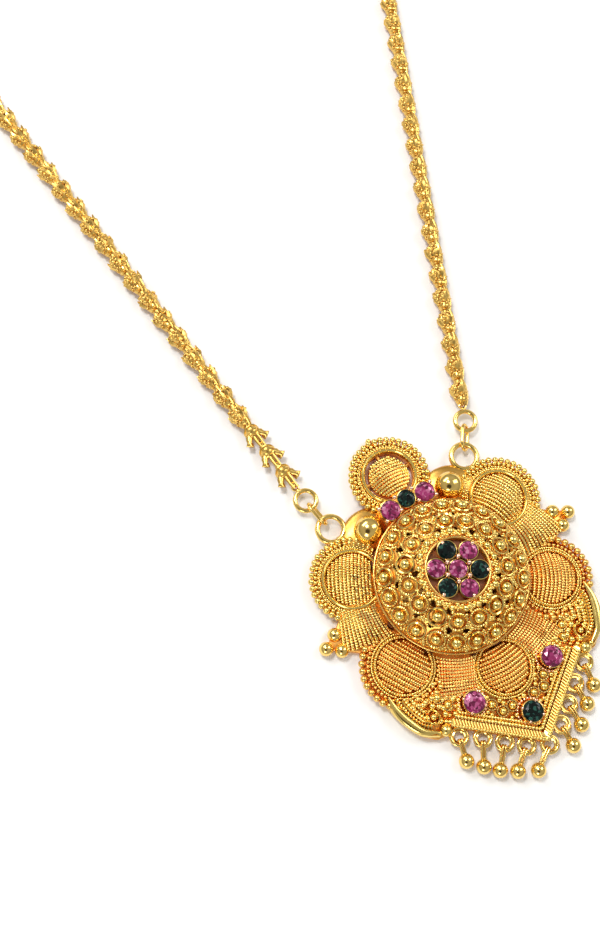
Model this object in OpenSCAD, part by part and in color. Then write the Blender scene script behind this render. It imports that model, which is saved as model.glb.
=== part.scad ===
// Gold bridal necklace lying on a table: a domed and petalled pendant with glass stones and
// bead drops, on a whole loop of flower-bud links closed by a hook at the back.
// X runs across the pendant, Y from the pendant towards the hook, Z up from the table.
// The origin is on the table, under the middle of the whole loop.

/* [Disc] */
// Radius of the domed disc over its rim wire
disc_r = 11.6; // [11.4:0.1:11.8]
// Height of the disc's rim above the table
rim_z = 3; // [2.8:0.1:3.2]
// Radius of the sphere that the dome is a cap of
dome_r = 15.1; // [14.8:0.1:15.6]
// Wall thickness of the pierced dome
dome_wall = 0.6; // [0.5:0.1:0.8]
// Rosettes in the outer row
outer_rosettes = 21; // [17:1:23]
// Rosettes in the inner row
inner_rosettes = 15; // [12:1:16]
// Balls in the row round the collar
collar_balls = 16; // [12:1:18]
// Radius of the outer row
outer_row_r = 10.1; // [9.9:0.1:10.2]
// Radius of the inner row
inner_row_r = 7.25; // [7.1:0.05:7.4]
// Outer radius of a rosette's wire ring
rosette_r = 1.25; // [1.1:0.05:1.3]

/* [Petals] */
// Radius of the ribbed pads, to the middle of their rim wire
pad_r = 4.05; // [3.9:0.05:4.2]
// Radius of the scalloped border round a pad
border_r = 6.1; // [5.9:0.1:6.3]
// Scallops round a border
scallops = 13; // [12:1:18]
// Height of the pendant's base plate
plate_h = 1.2; // [1:0.1:1.4]
// Ribs across each pad
pad_ribs = 6; // [4:1:7]

/* [Stones] */
// Radius of the seven stones on the dome
cluster_stone_r = 1.28; // [1.1:0.02:1.3]
// Radius of the ring that six of them stand on
cluster_r = 3.2; // [3.2:0.05:3.3]
// Radius of the stones on the lower plate
plate_stone_r = 1.5; // [1.3:0.05:1.6]
// Clearance between a stone and its setting
stone_gap = 0.12; // [0.1:0.01:0.15]
// Facets round a stone
stone_facets = 10; // [8:1:12]

/* [Fringe] */
// Radius of a bead that hangs from the fringe
bead_r = 1.08; // [1:0.02:1.1]
// Radius of a fringe ring, to the middle of its wire
fringe_ring_r = 1.05; // [1:0.05:1.1]

/* [Chain] */
// Length of one link, from joint to joint
link_pitch = 3.98; // [3.9:0.01:4.1]
// Radius of the wire in the links' eyes
eye_wire_r = 0.18; // [0.16:0.01:0.18]
// Radius of a link's bud over its crown of granules
bud_r = 1.33; // [1.3:0.01:1.4]
// Corners of a bud's ragged crown
crown_corners = 8; // [6:1:10]
// Radius of the round end of the loop
loop_end_r = 61; // [55:1:70]
// Lean of the left strand away from the pendant's axis, in degrees
left_lean = 8; // [7:1:10]
// Lean of the right strand away from the pendant's axis, in degrees
right_lean = 22; // [20:1:24]

/* [Rings] */
// Radius of the jump links' round ends, to the middle of their wire
jump_r = 1.05; // [1.05:0.01:1.1]
// Radius of the jump links' wire
jump_wire_r = 0.27; // [0.24:0.01:0.28]
// Radius of the chain's end rings, to the middle of their wire
end_ring_r = 1.55; // [1.5:0.05:1.55]
// Radius of the end rings' wire
end_wire_r = 0.36; // [0.32:0.01:0.36]

/* [Hidden] */
CLUSTER_NODES = ["stone_centre", "stone_ring_1", "stone_ring_2", "stone_ring_3",
                 "stone_ring_4", "stone_ring_5", "stone_ring_6"];
PLATE_NODES = ["stone_top_left", "stone_top_middle", "stone_top_right",
               "stone_lower_left", "stone_lower_right", "stone_tip"];
DROP_NODES = ["drop_1", "drop_2", "drop_3", "drop_4", "drop_5", "drop_6", "drop_7", "drop_8",
              "drop_9"];
CHAIN_NODES = ["jump_link_left", "jump_link_right", "end_ring_left", "end_ring_right",
               "chain_left", "chain_right", "clasp_ring_left", "clasp_ring_right",
               "clasp_hook"];

gold = "goldenrod";
pink = "mediumvioletred";
green = "darkslategray";
// Facets round wire; how deep shapes are sunk into the plate, and rosettes into the dome
fine = 32;
sunk = 0.1;
seat = 0.3;

// Dome: heights over the table, the cap's centre, and where the collar stands
dome_centre_z = rim_z - sqrt(dome_r ^ 2 - disc_r ^ 2);
collar_r = 4.9;
collar_floor_z = 7.2;
collar_top_z = 7.9;
cap_steps = 3;
rim_band = 0.4;
dome_edge_in = 0.3;
dome_foot = 1;
collar_wall = 0.4;
function dome_z(r, cap_r = dome_r) = dome_centre_z + sqrt(cap_r ^ 2 - r ^ 2);

// Petals: direction from the disc's centre, distance, pad radius, border radius, scalloped
PETALS = [
    [90, 17.9, pad_r, border_r - 0.2, true],
    [27, 14.4, pad_r + 0.15, border_r + 0.2, true],
    [153, 14.4, pad_r + 0.15, border_r + 0.2, true],
    [-29.4, 15.4, pad_r + 0.05, border_r, true],
    [-150.6, 15.4, pad_r + 0.05, border_r, true],
    [-90, 15.4, pad_r - 0.2, pad_r + 0.6, false],
];
rim_wire_r = 0.3;

// Balls on the pendant: place, radius and height of the centre
wing_ball_r = 0.9;
WING_BALLS = [[19.5, 1], [19.7, -1.55], [21.6, -0.2]];
top_ball_r = 1.85;
top_ball_at = [7.2, 12.7];
scroll_ball_r = 0.9;
scroll_ball_at = [12.3, -18.9];

// Stones of the dome, by angle, and of the plates: place, radius, height of the girdle, colour
girdle_h = 0.15;
table_h = 0.42;
pavilion_h = 0.5;
cluster_girdle_z = 7.95;
plate_girdle_z = 2.75;
top_girdle_z = 3.45;
PLATE_STONES = [
    [[-3.02, 12.9], 1.42, top_girdle_z, pink],
    [[0, 13.35], 1.26, top_girdle_z, green],
    [[3.02, 12.9], 1.42, top_girdle_z, pink],
    [[-6.8, -17.5], plate_stone_r, plate_girdle_z, pink],
    [[6.8, -17.5], plate_stone_r, plate_girdle_z, pink],
    [[0, -22.8], plate_stone_r - 0.06, plate_girdle_z, green],
];

// Fringe: ring centres along the lower edge from left to right, and the bead of each drop
fringe_z = bead_r;
fringe_wire_r = 0.22;
drop_wire_r = 0.16;
FRINGE = [
    [[-11.05, -20.6], [-11.9, -24.1]],
    [[-8.1, -22.5], [-10.1, -26]],
    [[-5.6, -24.6], [-8.3, -27.6]],
    [[-3.05, -26.55], [-6.1, -29]],
    [[0, -28.1], [-3.4, -30.4]],
    [[3.05, -26.55], [3, -30]],
    [[5.6, -24.6], [5.7, -28.1]],
    [[8.1, -22.5], [8.1, -26]],
    [[11.05, -20.6], [10.5, -24.2]],
];

// Chain: the height of its axis, and the plan of its loop
chain_z = bud_r;
hanger_r = 2;
hanger_wire_r = 0.38;
hanger_at = [12, 15.05];
ring_step = 5.84;
jump_step = 3.14;
jump_half = 0.95;
left_ring_lean = 11;
right_ring_lean = 33.8;
left_jump_roll = 65;
right_jump_roll = 57;
ring_to_joint = 2.85;
clasp_half = 5.3;
half_lean = (left_lean + right_lean) / 2;
axis_lean = (right_lean - left_lean) / 2;

function heading(lean) = [sin(lean), cos(lean)];
function cross2(a, b) = a[0] * b[1] - a[1] * b[0];
left_ring_at = [-hanger_at[0], hanger_at[1]] + ring_step * heading(-left_ring_lean);
right_ring_at = hanger_at + ring_step * heading(right_ring_lean);
left_start = left_ring_at + ring_to_joint * heading(-left_lean);
right_start = right_ring_at + ring_to_joint * heading(right_lean);

// The strands' straight lines meet behind the pendant, and the round end is tangent to both
left_reach = cross2(right_start - left_start, heading(right_lean))
    / cross2(heading(-left_lean), heading(right_lean));
loop_apex = left_start + left_reach * heading(-left_lean);
right_reach = norm(right_start - loop_apex);
tangent_length = loop_end_r / tan(half_lean);
loop_centre = loop_apex + loop_end_r / sin(half_lean) * heading(axis_lean);
end_arc = loop_end_r * (90 + half_lean) * PI / 180;
left_straight = tangent_length + left_reach;
right_straight = tangent_length - right_reach;
left_links = round((left_straight + end_arc - clasp_half) / link_pitch);
right_links = round((right_straight + end_arc - clasp_half) / link_pitch);
left_pitch = (left_straight + end_arc - clasp_half) / left_links;
right_pitch = (right_straight + end_arc - clasp_half) / right_links;

// Lean and place of a strand at a distance along it, for side -1 (left) or 1 (right)
function turn(s, straight) = max(0, s - straight) / loop_end_r * 180 / PI;
function strand_lean(side, s) = side < 0
    ? -left_lean + turn(s, left_straight)
    : right_lean - turn(s, right_straight);
function strand_at(side, s) =
    let (start = side < 0 ? left_start : right_start,
         straight = side < 0 ? left_straight : right_straight,
         lean = strand_lean(side, s))
    s < straight
        ? start + s * heading(side < 0 ? -left_lean : right_lean)
        : loop_centre + side * loop_end_r * [cos(lean), -sin(lean)];

// The origin lies under the middle of the loop's bounding box
top_y = loop_centre[1] + loop_end_r + bud_r;
bottom_y = FRINGE[4][1][1] - bead_r;
plan_shift = [-loop_centre[0], -(top_y + bottom_y) / 2];

// General shapes

module ring(r, wire, around = fine, sides = fine) {
    rotate_extrude($fn = around) translate([r, 0]) circle(wire, $fn = sides);
}

module tube_ring(r_out, r_in, h, facets) {
    linear_extrude(h) difference() {
        circle(r_out, $fn = facets);
        circle(r_in, $fn = facets);
    }
}

// Bar with flat ends between two points of the plan
module rib(a, b, z, r) {
    way = b - a;
    translate([a[0], a[1], z]) rotate([0, 0, atan2(way[1], way[0])]) rotate([0, 90, 0])
        cylinder(r = r, h = norm(way), $fn = 4);
}

// Children stand on the dome at a radius and an angle, square to its surface
module on_dome(r, angle) {
    rotate(angle) translate([r, 0, dome_z(r)]) rotate([0, asin(r / dome_r), 0]) children();
}

// Pendant

// A wire ring with a ball in it: radii and heights over the dome
rosette_wire = 0.42;
rosette_ring_h = 0.35;
rosette_ball_r = 0.65;
rosette_ball_h = 0.6;
module rosette() {
    translate([0, 0, -seat])
        tube_ring(rosette_r, rosette_r - rosette_wire, seat + rosette_ring_h, 6);
    translate([0, 0, -seat])
        cylinder(r1 = rosette_ball_r, r2 = 0.3, h = seat + rosette_ball_h, $fn = 5);
}

// Turned, so that no facet of the dome lines up with a facet of a rosette
facet_turn = 2.7;
module dome_shell() {
    outer_r = disc_r - dome_edge_in;
    inner_r = disc_r - dome_foot;
    rotate(facet_turn) rotate_extrude($fn = 24) polygon(concat(
        [[disc_r, rim_z - rim_band], [disc_r, rim_z]],
        [for (i = [0 : cap_steps])
            let (r = outer_r - i * (outer_r - collar_r) / cap_steps)
            [r, dome_z(r)]],
        [[collar_r, collar_top_z], [collar_r - collar_wall, collar_top_z],
         [collar_r - collar_wall, collar_floor_z], [0, collar_floor_z],
         [0, collar_floor_z - dome_wall]],
        [for (i = [cap_steps - 1 : -1 : 0])
            let (r = inner_r - i * (inner_r - collar_r) / cap_steps)
            [r, dome_z(r, dome_r - dome_wall)]],
        [[inner_r, plate_h - sunk], [inner_r + dome_foot / 2, plate_h - sunk],
         [inner_r + dome_foot / 2, rim_z - rim_band]]
    ));
}

// Pierced gaps between the rosettes, cut through the dome's wall: radius, and how far inside
// their row of rosettes they lie
outer_gap_r = 0.32;
outer_gap_in = 1.55;
inner_gap_r = 0.35;
inner_gap_in = 0.95;
module dome_gaps() {
    for (i = [0 : outer_rosettes - 1])
        on_dome(outer_row_r - outer_gap_in, (i + 0.5) * 360 / outer_rosettes)
            cylinder(r = outer_gap_r, h = 5 * dome_wall, center = true, $fn = 4);
    for (i = [0 : inner_rosettes - 1])
        on_dome(inner_row_r - inner_gap_in, (i + 0.5) * 360 / inner_rosettes)
            cylinder(r = inner_gap_r, h = 5 * dome_wall, center = true, $fn = 4);
}

collar_ball_r = 0.5;
collar_ball_h = 0.4;

module dome() {
    difference() {
        dome_shell();
        dome_gaps();
    }
    for (i = [0 : outer_rosettes - 1]) on_dome(outer_row_r, i * 360 / outer_rosettes) rosette();
    for (i = [0 : inner_rosettes - 1]) on_dome(inner_row_r, i * 360 / inner_rosettes) rosette();
    for (i = [0 : collar_balls - 1])
        on_dome(collar_r + collar_ball_r, i * 360 / collar_balls) translate([0, 0, -seat])
            cylinder(r1 = collar_ball_r, r2 = 0.25, h = seat + collar_ball_h, $fn = 5);
}

function cluster_at(i) = i == 0 ? [0, 0] : cluster_r * [cos(30 + 60 * i), sin(30 + 60 * i)];

// Cups that hold the stones: a cup's pocket keeps the stone's clearance at the middle of its
// flats, and no cup reaches into its neighbour's pocket
setting_sides = 7;
cup_wall = 0.2;
function pocket_r(r) = (r + stone_gap) / cos(180 / setting_sides);

module cup(at, r, girdle_z, floor_z) {
    translate([at[0], at[1], floor_z])
        cylinder(r = pocket_r(r) + cup_wall, h = girdle_z + girdle_h - floor_z, $fn = setting_sides);
}

module pocket(at, r, girdle_z) {
    translate([at[0], at[1], girdle_z - pavilion_h - stone_gap])
        cylinder(r = pocket_r(r), h = 5, $fn = setting_sides);
}

module settings() {
    difference() {
        union() {
            for (i = [0 : 6])
                cup(cluster_at(i), cluster_stone_r, cluster_girdle_z, collar_floor_z - sunk);
            for (stone = PLATE_STONES) cup(stone[0], stone[1], stone[2], plate_h - sunk);
        }
        for (i = [0 : 6]) pocket(cluster_at(i), cluster_stone_r, cluster_girdle_z);
        for (stone = PLATE_STONES) pocket(stone[0], stone[1], stone[2]);
    }
}

// A scallop's radius, and how far inside the border's radius the round plate stops
scallop_r = 0.7;
border_in = 0.4;
module petal_outline(petal) {
    circle(petal[3] - border_in, $fn = 24);
    if (petal[4]) for (i = [0 : scallops - 1])
        rotate(i * 360 / scallops) translate([petal[3] - scallop_r, 0])
            circle(scallop_r, $fn = 6);
}

// A pad: its cushion and ribs stop this far inside the rim wire
cushion_in = 1.1;
cushion_h = 0.5;
ribs_in = 1.05;
pad_rib_r = 0.4;
module petal_pad(petal) {
    ribs_r = petal[2] - ribs_in;
    translate([0, 0, plate_h - sunk]) rotate(3) rotate_extrude($fn = 18) polygon([
        [petal[2] - rim_wire_r, 0], [petal[2] + rim_wire_r, 0], [petal[2], 2 * rim_wire_r]
    ]);
    translate([0, 0, plate_h - sunk])
        cylinder(r = petal[2] - cushion_in, h = cushion_h, $fn = 12);
    for (i = [0 : pad_ribs - 1]) {
        along = (i - (pad_ribs - 1) / 2) * 2 * ribs_r / pad_ribs;
        half = sqrt(ribs_r ^ 2 - along ^ 2);
        rib([along, -half], [along, half], plate_h + pad_rib_r, pad_rib_r);
    }
}

module place_petal(petal) {
    rotate(petal[0]) translate([petal[1], 0]) children();
}

// Crescent openings round the top petal's pad: where each starts, and how much of a quarter
// turn it leaves as a bridge
OPENING_STARTS = [27, 117, -63, -153];
opening_bridge = 40;
module quarter(degrees) {
    rotate(degrees) translate([0, 0, -1]) cube([2 * pad_r, 2 * pad_r, 6]);
}

module top_pad_openings() {
    place_petal(PETALS[0]) for (start = OPENING_STARTS) intersection() {
        translate([0, 0, -0.5]) tube_ring(pad_r - 0.4, pad_r - 1, 4, 18);
        quarter(start);
        quarter(start - opening_bridge);
    }
}

// Right half of the plates between and below the petals
LOWER_PLATE = [[0, 0], [17.6, -7], [17.9, -11], [17.6, -13.6], [16.9, -15.9], [15.7, -18],
               [13.9, -19.5], [11.8, -19.8], [10.5, -19.6], [0.7, -27.25], [0, -27.25]];
WING_PLATE = [[0, 0], [16, 4.5], [17.6, 2.8], [19.2, 1.4], [21.5, 0.1], [21.5, -0.5],
              [19.2, -1.9], [17.6, -3], [16, -6]];
TOP_PLATE = [[0, 0], [11, 8], [11.2, 13.4], [10, 14.8], [5.4, 15.2], [4.1, 14.4], [0, 14.4]];
TOP_BAR = [[0, 11], [4.6, 11], [4.6, 13.85], [0, 14.8]];
// Three balls at the tip of the top petal, on the petal's own axes
TIP_BALLS = [[5.9, 0.7], [5.9, -0.7], [6.45, 0]];
tip_ball_r = 0.5;

module both_sides() {
    children();
    mirror([1, 0, 0]) children();
}

module base_plate() {
    linear_extrude(plate_h) {
        circle(disc_r - 0.4, $fn = 40);
        both_sides() {
            polygon(LOWER_PLATE);
            polygon(WING_PLATE);
            polygon(TOP_PLATE);
        }
        for (petal = PETALS) place_petal(petal) petal_outline(petal);
        place_petal(PETALS[0]) for (at = TIP_BALLS) translate(at) circle(tip_ball_r, $fn = 6);
    }
}

// Ribbed pads between the petals: the ends of the first rib on the right, and the step from
// each rib to the next
wedge_rib_r = 0.5;
WING_RIB = [[12.4, 1.3], [12.4, -1.7]];
WING_STEP = [[1.3, 0.39], [1.3, -0.39]];
LOWER_RIB = [[4.4, -11.2], [8.4, -9.6]];
LOWER_STEP = [[1, -1.2], [-0.3, -1.3]];
module rib_fan(first, step) {
    for (i = [0 : 3])
        rib(first[0] + i * step[0], first[1] + i * step[1], plate_h + 0.15, wedge_rib_r);
}

module wedge_pads() {
    both_sides() {
        rib_fan(WING_RIB, WING_STEP);
        rib_fan(LOWER_RIB, LOWER_STEP);
    }
}

// Rope and flat band along the lower edge, from the tip up to the scrolls
V_INNER = [[0, -25.2], [9.6, -17.6]];
V_OUTER = [[0, -26.3], [10.6, -18.1]];
rope_r = 0.45;
band_r = 0.5;
band_h = 0.75;
module lower_border() {
    both_sides() {
        rib(V_INNER[0], V_INNER[1], plate_h + 0.2, rope_r);
        hull() for (at = V_OUTER)
            translate([at[0], at[1], 0]) cylinder(r = band_r, h = plate_h + band_h, $fn = 8);
    }
}

// Flat ribbons standing on edge at the two lower corners
SCROLL_OUTER = [[17.6, -11.2], [17.1, -15], [15.6, -17.9], [13.3, -19.2]];
SCROLL_INNER = [[14.6, -13.6], [14.5, -15.4], [13.4, -16.9]];
ribbon_r = 0.32;
ribbon_h = 0.8;
module scroll(points) {
    for (i = [0 : len(points) - 2]) hull() for (at = [points[i], points[i + 1]])
        translate([at[0], at[1], 0]) cylinder(r = ribbon_r, h = plate_h + ribbon_h, $fn = 5);
}

module scrolls() {
    both_sides() {
        scroll(SCROLL_OUTER);
        scroll(SCROLL_INNER);
        translate([scroll_ball_at[0], scroll_ball_at[1], plate_h]) sphere(scroll_ball_r, $fn = 8);
    }
}

module balls() {
    both_sides() {
        for (at = WING_BALLS)
            translate([at[0], at[1], wing_ball_r + 0.1]) sphere(wing_ball_r, $fn = 7);
        translate([top_ball_at[0], top_ball_at[1], plate_h + 1]) sphere(top_ball_r, $fn = 9);
    }
}

// Rings that the chain hangs from, each soldered on a foot at the plate's edge
hanger_foot_at = hanger_at - [0.4, 2.1];
hanger_foot_r = 0.7;
module hangers() {
    both_sides() {
        translate([hanger_at[0], hanger_at[1], chain_z])
            ring(hanger_r, hanger_wire_r, 16, 5);
        translate([hanger_foot_at[0], hanger_foot_at[1], 0])
            cylinder(r = hanger_foot_r, h = chain_z + 0.2, $fn = 6);
    }
}

module fringe_rings() {
    for (drop = FRINGE) translate([drop[0][0], drop[0][1], fringe_z])
        ring(fringe_ring_r, fringe_wire_r, 10, 3);
}

module pendant_body() {
    color(gold) translate(plan_shift) {
        difference() {
            union() {
                base_plate();
                linear_extrude(top_girdle_z - 1) both_sides() polygon(TOP_BAR);
            }
            top_pad_openings();
        }
        dome();
        settings();
        for (petal = PETALS) place_petal(petal) petal_pad(petal);
        wedge_pads();
        lower_border();
        scrolls();
        balls();
        hangers();
        fringe_rings();
    }
}

// Stones: a table and a ring of crown facets over the girdle, and a pavilion under it

table_share = 0.58;
culet_share = 0.3;
facet_h = 0.01;
module cut_stone(at, r, girdle_z) {
    translate([plan_shift[0] + at[0], plan_shift[1] + at[1], girdle_z]) hull() {
        cylinder(r = r, h = girdle_h, $fn = stone_facets);
        translate([0, 0, girdle_h + table_h - facet_h])
            cylinder(r = table_share * r, h = facet_h, $fn = stone_facets);
        translate([0, 0, -pavilion_h])
            cylinder(r = culet_share * r, h = facet_h, $fn = stone_facets);
    }
}

module cluster_stone(i) {
    color(i % 2 == 0 ? pink : green)
        cut_stone(cluster_at(i), cluster_stone_r, cluster_girdle_z);
}

module plate_stone(i) {
    stone = PLATE_STONES[i];
    color(stone[3]) cut_stone(stone[0], stone[1], stone[2]);
}

// Chain, along Y

// Two eyes meet at a joint: each reaches past it by this much
eye_r = 0.48;
eye_past = eye_r / 2;

// Upright eye that hangs on the piece before: its joint is at the origin
module upright_eye() {
    translate([0, eye_r - eye_past, 0]) rotate([0, 90, 0]) ring(eye_r, eye_wire_r);
}

// Level eye that carries the next piece: its joint is at the origin
module level_eye() {
    translate([0, eye_past - eye_r, 0]) ring(eye_r, eye_wire_r);
}

// Profile of a bud, as radius and distance from the link's first joint
BUD = [[0, 0.56], [0.62, 0.56], [0.74, 1], [1.1, 2.2], [1.15, 2.9], [0.55, 3.35], [0, 3.35]];
crown_at = 2.35;
crown_h = 0.55;

// One link: an upright eye, a bud that opens away from the pendant, and a level eye
module link(pitch) {
    upright_eye();
    rotate([-90, 0, 0]) rotate_extrude($fn = fine) polygon(BUD);
    translate([0, crown_at, 0]) rotate([-90, 0, 0])
        cylinder(r = bud_r, h = crown_h, $fn = crown_corners);
    translate([0, pitch, 0]) level_eye();
}

module on_strand(side, s) {
    at = strand_at(side, s) + plan_shift;
    translate([at[0], at[1], chain_z]) rotate([0, 0, -strand_lean(side, s)]) children();
}

// Links lie along the chord between their joints
module chain(side, links, pitch) {
    for (i = [0 : links - 1]) {
        a = strand_at(side, i * pitch);
        b = strand_at(side, (i + 1) * pitch);
        translate([a[0] + plan_shift[0], a[1] + plan_shift[1], chain_z])
            rotate([0, 0, atan2(b[1] - a[1], b[0] - a[0]) - 90]) link(norm(b - a));
    }
}

// Half ring with two straight legs: its round end is centred on the origin and points to -Y
module wire_bend(r, wire, leg) {
    rotate([0, 0, 180]) rotate_extrude(angle = 180, $fn = fine)
        translate([r, 0]) circle(wire, $fn = fine);
    for (x = [-r, r]) translate([x, 0, 0]) rotate([-90, 0, 0])
        cylinder(r = wire, h = leg, $fn = fine);
}

module oval_link(r, half, wire) {
    for (turned = [0, 180]) rotate([0, 0, turned])
        translate([0, -half, 0]) wire_bend(r, wire, half);
}

module jump_link(side, lean, roll) {
    at = [side * hanger_at[0], hanger_at[1]] + jump_step * heading(lean) + plan_shift;
    color(gold) translate([at[0], at[1], chain_z]) rotate([0, 0, -lean]) rotate([0, roll, 0])
        oval_link(jump_r, jump_half, jump_wire_r);
}

// A drop of solder joins the end ring to the eye that carries the chain
solder_r = 0.4;
solder_from_joint = 0.95;
module end_ring(at, lean) {
    color(gold) translate([at[0] + plan_shift[0], at[1] + plan_shift[1], chain_z])
        rotate([0, 0, -lean]) {
            ring(end_ring_r, end_wire_r);
            translate([0, ring_to_joint - solder_from_joint, 0]) sphere(solder_r, $fn = fine);
            translate([0, ring_to_joint, 0]) level_eye();
        }
}

// Clasp: a ring on each strand's last link, and an S-shaped hook through both
clasp_ring_r = 1.05;
clasp_ring_at = 1.88;
clasp_wire_r = 0.27;
module clasp_ring(side, links, pitch) {
    color(gold) on_strand(side, links * pitch) {
        upright_eye();
        translate([0, clasp_ring_at, 0]) rotate([0, 90, 0]) ring(clasp_ring_r, clasp_wire_r);
    }
}

hook_r = 1.1;
hook_reach = 3.2;
hook_wire_r = 0.35;
hook_ball_r = 0.45;
module clasp_hook() {
    bar = [2 * (hook_reach - hook_r), 2 * hook_r];
    at = loop_centre + loop_end_r * heading(axis_lean) + plan_shift;
    color(gold) translate([at[0], at[1], chain_z]) rotate([0, 0, -axis_lean]) {
        for (turned = [0, 180]) rotate([0, 0, turned]) {
            translate([hook_reach - hook_r, 0, 0]) rotate([0, 0, -90])
                rotate_extrude(angle = 180, $fn = fine)
                translate([hook_r, 0]) circle(hook_wire_r, $fn = fine);
            for (end = [-1, 1]) translate([hook_reach - hook_r, end * hook_r, 0])
                sphere(hook_ball_r, $fn = fine);
        }
        rotate([0, 0, atan2(bar[1], bar[0])]) rotate([0, 90, 0])
            cylinder(r = hook_wire_r, h = norm(bar), center = true, $fn = fine);
    }
}

// One drop: a bead with a wire eye that passes through its fringe ring
drop_eye_r = 0.5;
drop_gap = 0.12;
leg_in_bead = 0.3;
module drop(i) {
    at = FRINGE[i][0];
    way = FRINGE[i][1] - at;
    reach = norm(way);
    near = fringe_ring_r - fringe_wire_r - drop_gap - drop_wire_r;
    leg = reach - bead_r - near - drop_eye_r + leg_in_bead;
    color(gold) translate([at[0] + plan_shift[0], at[1] + plan_shift[1], bead_r])
        rotate([0, 0, atan2(way[1], way[0]) - 90]) {
            translate([0, reach, 0]) sphere(bead_r, $fn = fine);
            translate([0, near + drop_eye_r, 0]) rotate([0, 90, 0])
                wire_bend(drop_eye_r, drop_wire_r, leg);
        }
}

pendant_body();
for (i = [0 : 6]) cluster_stone(i);
for (i = [0 : 5]) plate_stone(i);
for (i = [0 : 8]) drop(i);
jump_link(-1, -left_ring_lean, left_jump_roll);  // jump_link_left
jump_link(1, right_ring_lean, right_jump_roll);  // jump_link_right
end_ring(left_ring_at, -left_lean);  // end_ring_left
end_ring(right_ring_at, right_lean);  // end_ring_right
color(gold) chain(-1, left_links, left_pitch);  // chain_left
color(gold) chain(1, right_links, right_pitch);  // chain_right
clasp_ring(-1, left_links, left_pitch);  // clasp_ring_left
clasp_ring(1, right_links, right_pitch);  // clasp_ring_right
clasp_hook();
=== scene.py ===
"""Looks of the gold bridal necklace: its pendant, stones, bead drops, chain, floor, light, camera.

Shapes are worked out in millimetres on the pendant's own axes, with the disc's axis at the origin,
+Y towards the chain and Z up from the table, and become meshes in metres in the part's frame.
"""
import math
from functools import partial

import bpy
import numpy as np
from mathutils import Matrix, Vector


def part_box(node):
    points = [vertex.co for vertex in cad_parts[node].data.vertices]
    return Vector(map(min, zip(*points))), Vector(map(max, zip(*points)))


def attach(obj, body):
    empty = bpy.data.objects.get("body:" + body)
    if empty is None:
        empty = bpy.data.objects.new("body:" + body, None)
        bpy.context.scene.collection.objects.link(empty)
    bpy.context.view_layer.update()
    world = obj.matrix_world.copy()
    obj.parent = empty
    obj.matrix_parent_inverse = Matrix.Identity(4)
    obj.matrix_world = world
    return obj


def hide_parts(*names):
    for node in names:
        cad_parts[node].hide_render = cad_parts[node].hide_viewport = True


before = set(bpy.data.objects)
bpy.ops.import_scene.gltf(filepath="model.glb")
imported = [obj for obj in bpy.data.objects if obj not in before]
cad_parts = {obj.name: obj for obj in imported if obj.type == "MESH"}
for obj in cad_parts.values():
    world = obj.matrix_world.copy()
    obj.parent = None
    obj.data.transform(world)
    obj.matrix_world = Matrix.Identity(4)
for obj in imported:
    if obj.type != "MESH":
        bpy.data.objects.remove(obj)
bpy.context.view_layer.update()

MM = 0.001
UP = np.array([0.0, 0.0, 1.0])
AHEAD = np.array([0.0, 1.0, 0.0])


def polar(r, degrees, z=0.0):
    a = math.radians(degrees)
    return np.array([r * math.cos(a), r * math.sin(a), z])


# The disc's axis in the part's frame, in millimetres
DISC_AT = np.mean(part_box("stone_centre"), 0) / MM * (1, 1, 0)
SIDES = {-1: "left", 1: "right"}

# Pendant: the sizes that its pieces share with the solids
DISC_R = 11.6
RIM_Z = 3.0
DOME_R = 15.1
DOME_WALL = 0.6
PLATE_H = 1.2
COLLAR_R = 4.9
COLLAR_FLOOR_Z = 7.0
COLLAR_TOP_Z = 7.9
OUTER_ROW_R = 10.1
INNER_ROW_R = 7.25
OUTER_ROSETTES = 21
INNER_ROSETTES = 15
COLLAR_BALLS = 18
DOME_CENTRE_Z = RIM_Z - math.sqrt(DOME_R**2 - DISC_R**2)

# Petals: direction in degrees, distance, radius of the rim wire, radius of the border,
# pitch of the pad's ridges, kind of rim
PETALS = [
    ("petal_top", 90, 17.9, 4.1, 5.9, 0.52, "open"),
    ("petal_upper_right", 27.5, 14.7, 4.3, 6.15, 0.56, "plain"),
    ("petal_upper_left", 152.5, 14.8, 4.35, 6.1, 0.56, "plain"),
    ("petal_lower_right", -29.4, 15.4, 4.2, 6.1, 0.6, "beaded"),
    ("petal_lower_left", -148.6, 15.25, 4.25, 6.2, 0.68, "beaded"),
    ("petal_bottom", -90, 15.4, 4.0, 4.7, 0.62, "beaded"),
]

CLUSTER_R = 3.2
CLUSTER_STONE_R = 1.28
CLUSTER_GIRDLE_Z = 7.95
TOP_GIRDLE_Z = 3.45
PLATE_GIRDLE_Z = 2.75
# Stones: node, place, radius, height of the girdle, colour
STONES = [
    ("stone_centre", (0, 0), CLUSTER_STONE_R, CLUSTER_GIRDLE_Z, "pink"),
    *[(f"stone_ring_{i + 1}", polar(CLUSTER_R, 90 + 60 * i)[:2], CLUSTER_STONE_R,
       CLUSTER_GIRDLE_Z, "pink" if i % 2 else "green") for i in range(6)],
    ("stone_top_left", (-3.02, 12.9), 1.42, TOP_GIRDLE_Z, "pink"),
    ("stone_top_middle", (0, 13.35), 1.26, TOP_GIRDLE_Z, "green"),
    ("stone_top_right", (3.02, 12.9), 1.42, TOP_GIRDLE_Z, "pink"),
    ("stone_lower_left", (-6.8, -17.5), 1.5, PLATE_GIRDLE_Z, "pink"),
    ("stone_lower_right", (6.8, -17.5), 1.5, PLATE_GIRDLE_Z, "pink"),
    ("stone_tip", (0, -22.8), 1.44, PLATE_GIRDLE_Z, "green"),
]
LOWER_STONES = STONES[-3:]

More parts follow.
